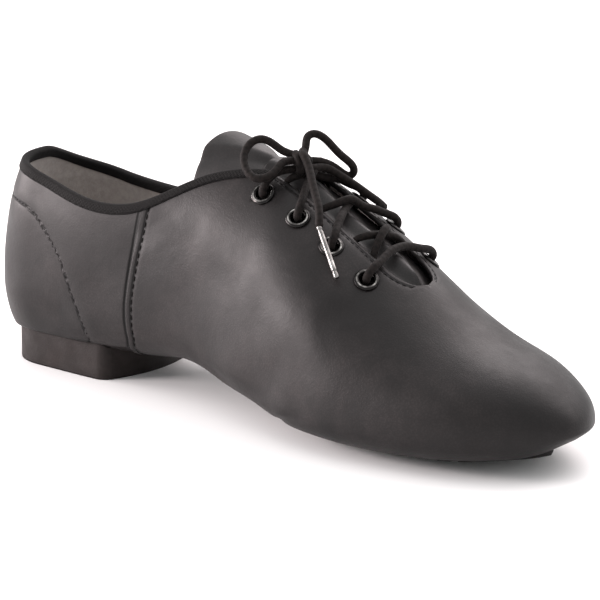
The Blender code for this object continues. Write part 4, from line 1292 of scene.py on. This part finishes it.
def crossing(side, low, high, over):
    """Route of a strand: up out of the eyelet at low, over to the other side, under that
    facing and up into the eyelet at high."""
    u_low, u_high = float(station(low)), float(station(high))
    reach_low = eyelet_half(side, u_low)
    reach_high = eyelet_half(-side, u_high)
    crown = 0.0036 if over else 0.0011

    def at(share):
        return u_low + (u_high - u_low) * share

    return [
        (hole(side, low, -0.0035), THIN),
        (hole(side, low, -0.0010), 0.9),
        (hole(side, low, 0.0012), 1),
        (lifted(side, at(0.03), reach_low - 0.0019, 0.0027), 1),
        (lifted(side, at(0.14), reach_low - 0.0055, 0.0023), 1),
        (lifted(side, at(0.26), 0.0085, 0.0020), 1),
        (lifted(side, at(0.37), 0.0050, 0.0018 if over else 0.0010), 1),
        (lifted(side, at(0.50), 0.0, crown), 1),
        (lifted(-side, at(0.62), 0.0045, 0.0014 if over else 0.0008), 1),
        (lifted(-side, at(0.73), 0.0078, -0.0004), 0.9),
        (lifted(-side, at(0.82), 0.0112, -0.0024), THIN),
        (lifted(-side, at(0.93), reach_high - 0.0020, -0.0030), THIN),
        (hole(-side, high, -0.0030), THIN),
    ]


def add_strand(bm, route):
    """A fixed strand along a route of points and thickness shares."""
    look = bpy.context.scene.lace_look
    points, widths = zip(*route)
    path, shares = smooth_path(points)
    runs = runs_along(points)
    tube(bm, path, look.diameter / 2 * np.interp(shares, runs / runs[-1], widths), look.pitch)


class SHOE_OT_laces(bpy.types.Operator):
    """Bar, crossings, knot, bow and aglets"""

    bl_idname = "jazz_shoe.laces"
    bl_label = "Laces"

    def aglet(self, name, finish):
        """A metal rod with a crimped ring near each end."""
        start, end = (np.array(p) for p in BOW[name])
        shares = np.linspace(0, 1, 60)
        radius = np.full(60, bpy.context.scene.lace_look.aglet / 2)
        for ring in (0.07, 0.90):
            radius -= 0.00022 * np.exp(-((shares - ring) / 0.018) ** 2)
        bm = bmesh.new()
        tube(bm, start + (end - start) * shares[:, None], radius, sides=20)
        seal(bm)
        piece = finish_mesh(bm, f"metal_{name}", finish)
        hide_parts(name)
        return piece

    def bar(self, finish):
        """The bar between the lowest eyelets."""
        low = EYELETS[-1]
        u = float(station(low))
        route = []
        for side in (-1, 1):
            half = [
                (hole(side, low, -0.0035), 0.6),
                (hole(side, low, -0.0008), 0.95),
                (hole(side, low, 0.0014), 1),
                (lifted(side, u, eyelet_half(side, u) - 0.0022, 0.0029), 1),
                (lifted(side, u, 0.0110, 0.0024), 1),
                (lifted(side, u - 0.03, 0.0050, 0.0019), 1),
            ]
            route += half if side < 0 else [(lifted(1, u - 0.04, 0.0, 0.0017), 1)] + half[::-1]
        bm = bmesh.new()
        add_strand(bm, route)
        piece = finish_mesh(bm, "braided_bar", finish)
        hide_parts("lace_bar")

    def crossings(self, finish):
        """The strands that cross the throat; the lowest pair comes up from under the facings."""
        bm = bmesh.new()
        for number, (high, low) in enumerate(zip(EYELETS, EYELETS[1:])):
            for side in (-1, 1):
                route = crossing(side, low, high, over=(side < 0) == (number % 2 == 0))
                if low == EYELETS[-1]:
                    u = float(station(low))
                    route[:6] = [
                        (hole(side, low, -0.0032), THIN),
                        (lifted(side, u - 0.02, eyelet_half(side, u) - 0.004, -0.0030), THIN),
                        (lifted(side, u - 0.08, 0.0112, -0.0024), THIN),
                        (lifted(side, u - 0.17, 0.0080, -0.0002), 0.9),
                    ]
                add_strand(bm, route)
        piece = finish_mesh(bm, "braided_crossings", finish)
        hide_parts("lace_cross_2", "lace_cross_3")

    def knot(self, finish):
        """The turn of lace round the bow's middle, over a core that closes it."""
        look = bpy.context.scene.lace_look
        ahead = Vector((0.55, 0.75, 0.30)).normalized()
        level = ahead.cross(Vector((0, 0, 1))).normalized()
        over = level.cross(ahead)
        turns = np.linspace(-0.2, 1.75, 70)
        path = [KNOT + ahead * (0.0026 * (turn - 0.8)) + level * (0.0037 * math.cos(2 * math.pi * turn))
                + over * (0.0033 * math.sin(2 * math.pi * turn)) for turn in turns]
        bm = bmesh.new()
        tube(bm, np.array(path), look.diameter / 2, look.pitch)
        core = Matrix.Translation(KNOT) @ Matrix.Diagonal((*KNOT_RADII, 1))
        bmesh.ops.create_icosphere(bm, subdivisions=3, radius=1, matrix=core)
        piece = finish_mesh(bm, "braided_knot", finish)

    def free_lace(self, side, name, finish, steel):
        """One half of the bow, from its top eyelet to its aglet, as a free cord."""
        look = bpy.context.scene.lace_look
        top = EYELETS[0]
        u = float(station(top))
        reach = eyelet_half(side, u)
        route = [hole(side, top, -0.0030), hole(side, top, 0.0012),
                 lifted(side, u + 0.02, reach - 0.0022, 0.0029),
                 lifted(side, u + 0.06, reach - 0.0068, 0.0030)]
        for part in ("through", "loop", "back", "end"):
            route += BOW[f"{part}_{name}"]
        path, _ = smooth_path(route)
        for _ in range(EASE_ROUNDS):
            path[1:-1] = (path[:-2] + 2 * path[1:-1] + path[2:]) / 4
        aglet = self.aglet(f"aglet_{name}", steel)
        nodes = [f"lace_loop_{name}", f"lace_end_{name}"] + (["lace_knot"] if side < 0 else [])
        bm = bmesh.new()
        tube(bm, path, look.diameter / 2, look.pitch)
        seal(bm)
        piece = finish_mesh(bm, f"bow_{name}", finish)
        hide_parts(*nodes)
        points = [tuple(point) for point in (*path[:-1:3], path[-1])]
        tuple(points[0])
        round(float(runs_along(path)[-1]), 3)

    def execute(self, context):
        colour = context.scene.lace_look.colour[:]
        braid = woven_finish("waxed_braid", colour, 0.32, 0.72, 0.00008)
        steel = metal_finish("bright_steel", (0.16, 0.155, 0.15), (0.40, 0.39, 0.38), 0.28, 0.50)
        self.bar(braid)
        self.crossings(braid)
        self.knot(braid)
        self.free_lace(-1, "inner", braid, steel)
        self.free_lace(1, "outer", braid, steel)
        return {"FINISHED"}


class SHOE_OT_stage(bpy.types.Operator):
    """Floor, surround, lights and the camera at the photograph's angle"""

    bl_idname = "jazz_shoe.stage"
    bl_label = "Stage"

    def light(self, name, place, target, size, power, colour=(1, 1, 1)):
        """A soft rectangular light that faces a target."""
        lamp = bpy.data.lights.new(name, "AREA")
        lamp.shape = "RECTANGLE"
        lamp.size, lamp.size_y = size
        lamp.energy = power
        lamp.color = colour
        holder = bpy.data.objects.new(name, lamp)
        holder.location = place
        holder.rotation_euler = (Vector(target) - Vector(place)).to_track_quat("-Z", "Y").to_euler()
        bpy.context.scene.collection.objects.link(holder)

    def execute(self, context):
        look = context.scene.stage_look
        bm = bmesh.new()
        bmesh.ops.create_grid(bm, x_segments=1, y_segments=1, size=6)
        mesh = bpy.data.meshes.new("studio_floor")
        bm.to_mesh(mesh)
        bm.free()
        paper = Shader("studio_paper", 0.55)
        paper.set("Base Color", paper.mix(paper.noise(3.0, 2), scaled(look.floor, 0.985), look.floor[:]))
        mesh.materials.append(paper.material)
        ground = bpy.data.objects.new("studio_floor", mesh)
        context.scene.collection.objects.link(ground)

        world = bpy.data.worlds.new("studio_surround")
        world.use_nodes = True
        surround = world.node_tree.nodes["Background"]
        surround.inputs["Color"].default_value = (1, 1, 1, 1)
        surround.inputs["Strength"].default_value = look.sky
        context.scene.world = world

        middle = (0.09, 0.0, 0.04)
        warm = (1.0, 0.900, 0.905)
        self.light("key", (-0.66, -0.72, 0.34), (-0.04, 0.0, 0.06), (0.36, 0.26), 12.0, warm)
        self.light("side", (-0.94, -0.30, 0.30), (-0.02, 0.0, 0.06), (0.40, 0.30), 8.0, warm)
        self.light("back", (0.10, 0.95, 0.95), middle, (1.60, 0.90), 17.0, warm)
        self.light("top", (0.10, 0.10, 1.60), middle, (1.60, 1.60), 5.0)
        context.scene.view_settings.view_transform = "Standard"

        elevation = math.radians(look.elevation)
        back = Vector((0, -math.cos(elevation), math.sin(elevation)))
        back.rotate(Matrix.Rotation(math.radians(look.azimuth), 3, "Z"))
        lens = bpy.data.cameras.new("camera")
        lens.lens = look.lens
        lens.sensor_width = 36
        lens.sensor_fit = "HORIZONTAL"
        lens.clip_start = 0.01
        camera = bpy.data.objects.new("camera", lens)
        camera.location = Vector(look.target) + back * look.distance
        turn = back.to_track_quat("Z", "Y").to_matrix()
        camera.rotation_euler = (turn @ Matrix.Rotation(math.radians(look.roll), 3, "Z")).to_euler()
        context.scene.collection.objects.link(camera)
        context.scene.camera = camera
        return {"FINISHED"}


OPERATORS = (
    SHOE_OT_stage, SHOE_OT_laces, SHOE_OT_upper, SHOE_OT_stitches, SHOE_OT_binding, SHOE_OT_tongue,
    SHOE_OT_soles, SHOE_OT_eyelets,
)
GROUPS = {
    "shoe_sizes": ShoeSizes, "leather_look": LeatherLook, "lace_look": LaceLook, "stage_look": StageLook,
}


class SHOE_PT_panel(bpy.types.Panel):
    """Lists the shoe's sizes, looks and makers"""

    bl_label = "Jazz Shoe"
    bl_idname = "SHOE_PT_panel"
    bl_space_type = "VIEW_3D"
    bl_region_type = "UI"
    bl_category = "Jazz Shoe"

    def draw(self, context):
        """Shows each group's values, then a button for each maker."""
        for name, group in GROUPS.items():
            box = self.layout.box()
            for value in group.__annotations__:
                box.prop(getattr(context.scene, name), value)
        for maker in OPERATORS:
            self.layout.operator(maker.bl_idname)


def register():
    """Adds the classes and the scene's groups of values."""
    for made in (*GROUPS.values(), *OPERATORS, SHOE_PT_panel):
        bpy.utils.register_class(made)
    for name, group in GROUPS.items():
        setattr(bpy.types.Scene, name, bpy.props.PointerProperty(type=group))


def unregister():
    """Takes them away again."""
    for name in GROUPS:
        delattr(bpy.types.Scene, name)
    for made in reversed((*GROUPS.values(), *OPERATORS, SHOE_PT_panel)):
        bpy.utils.unregister_class(made)


def main():
    """Makes every piece."""
    register()
    for maker in OPERATORS:
        group, name = maker.bl_idname.split(".")
        getattr(getattr(bpy.ops, group), name)()


if __name__ == "__main__":
    main()
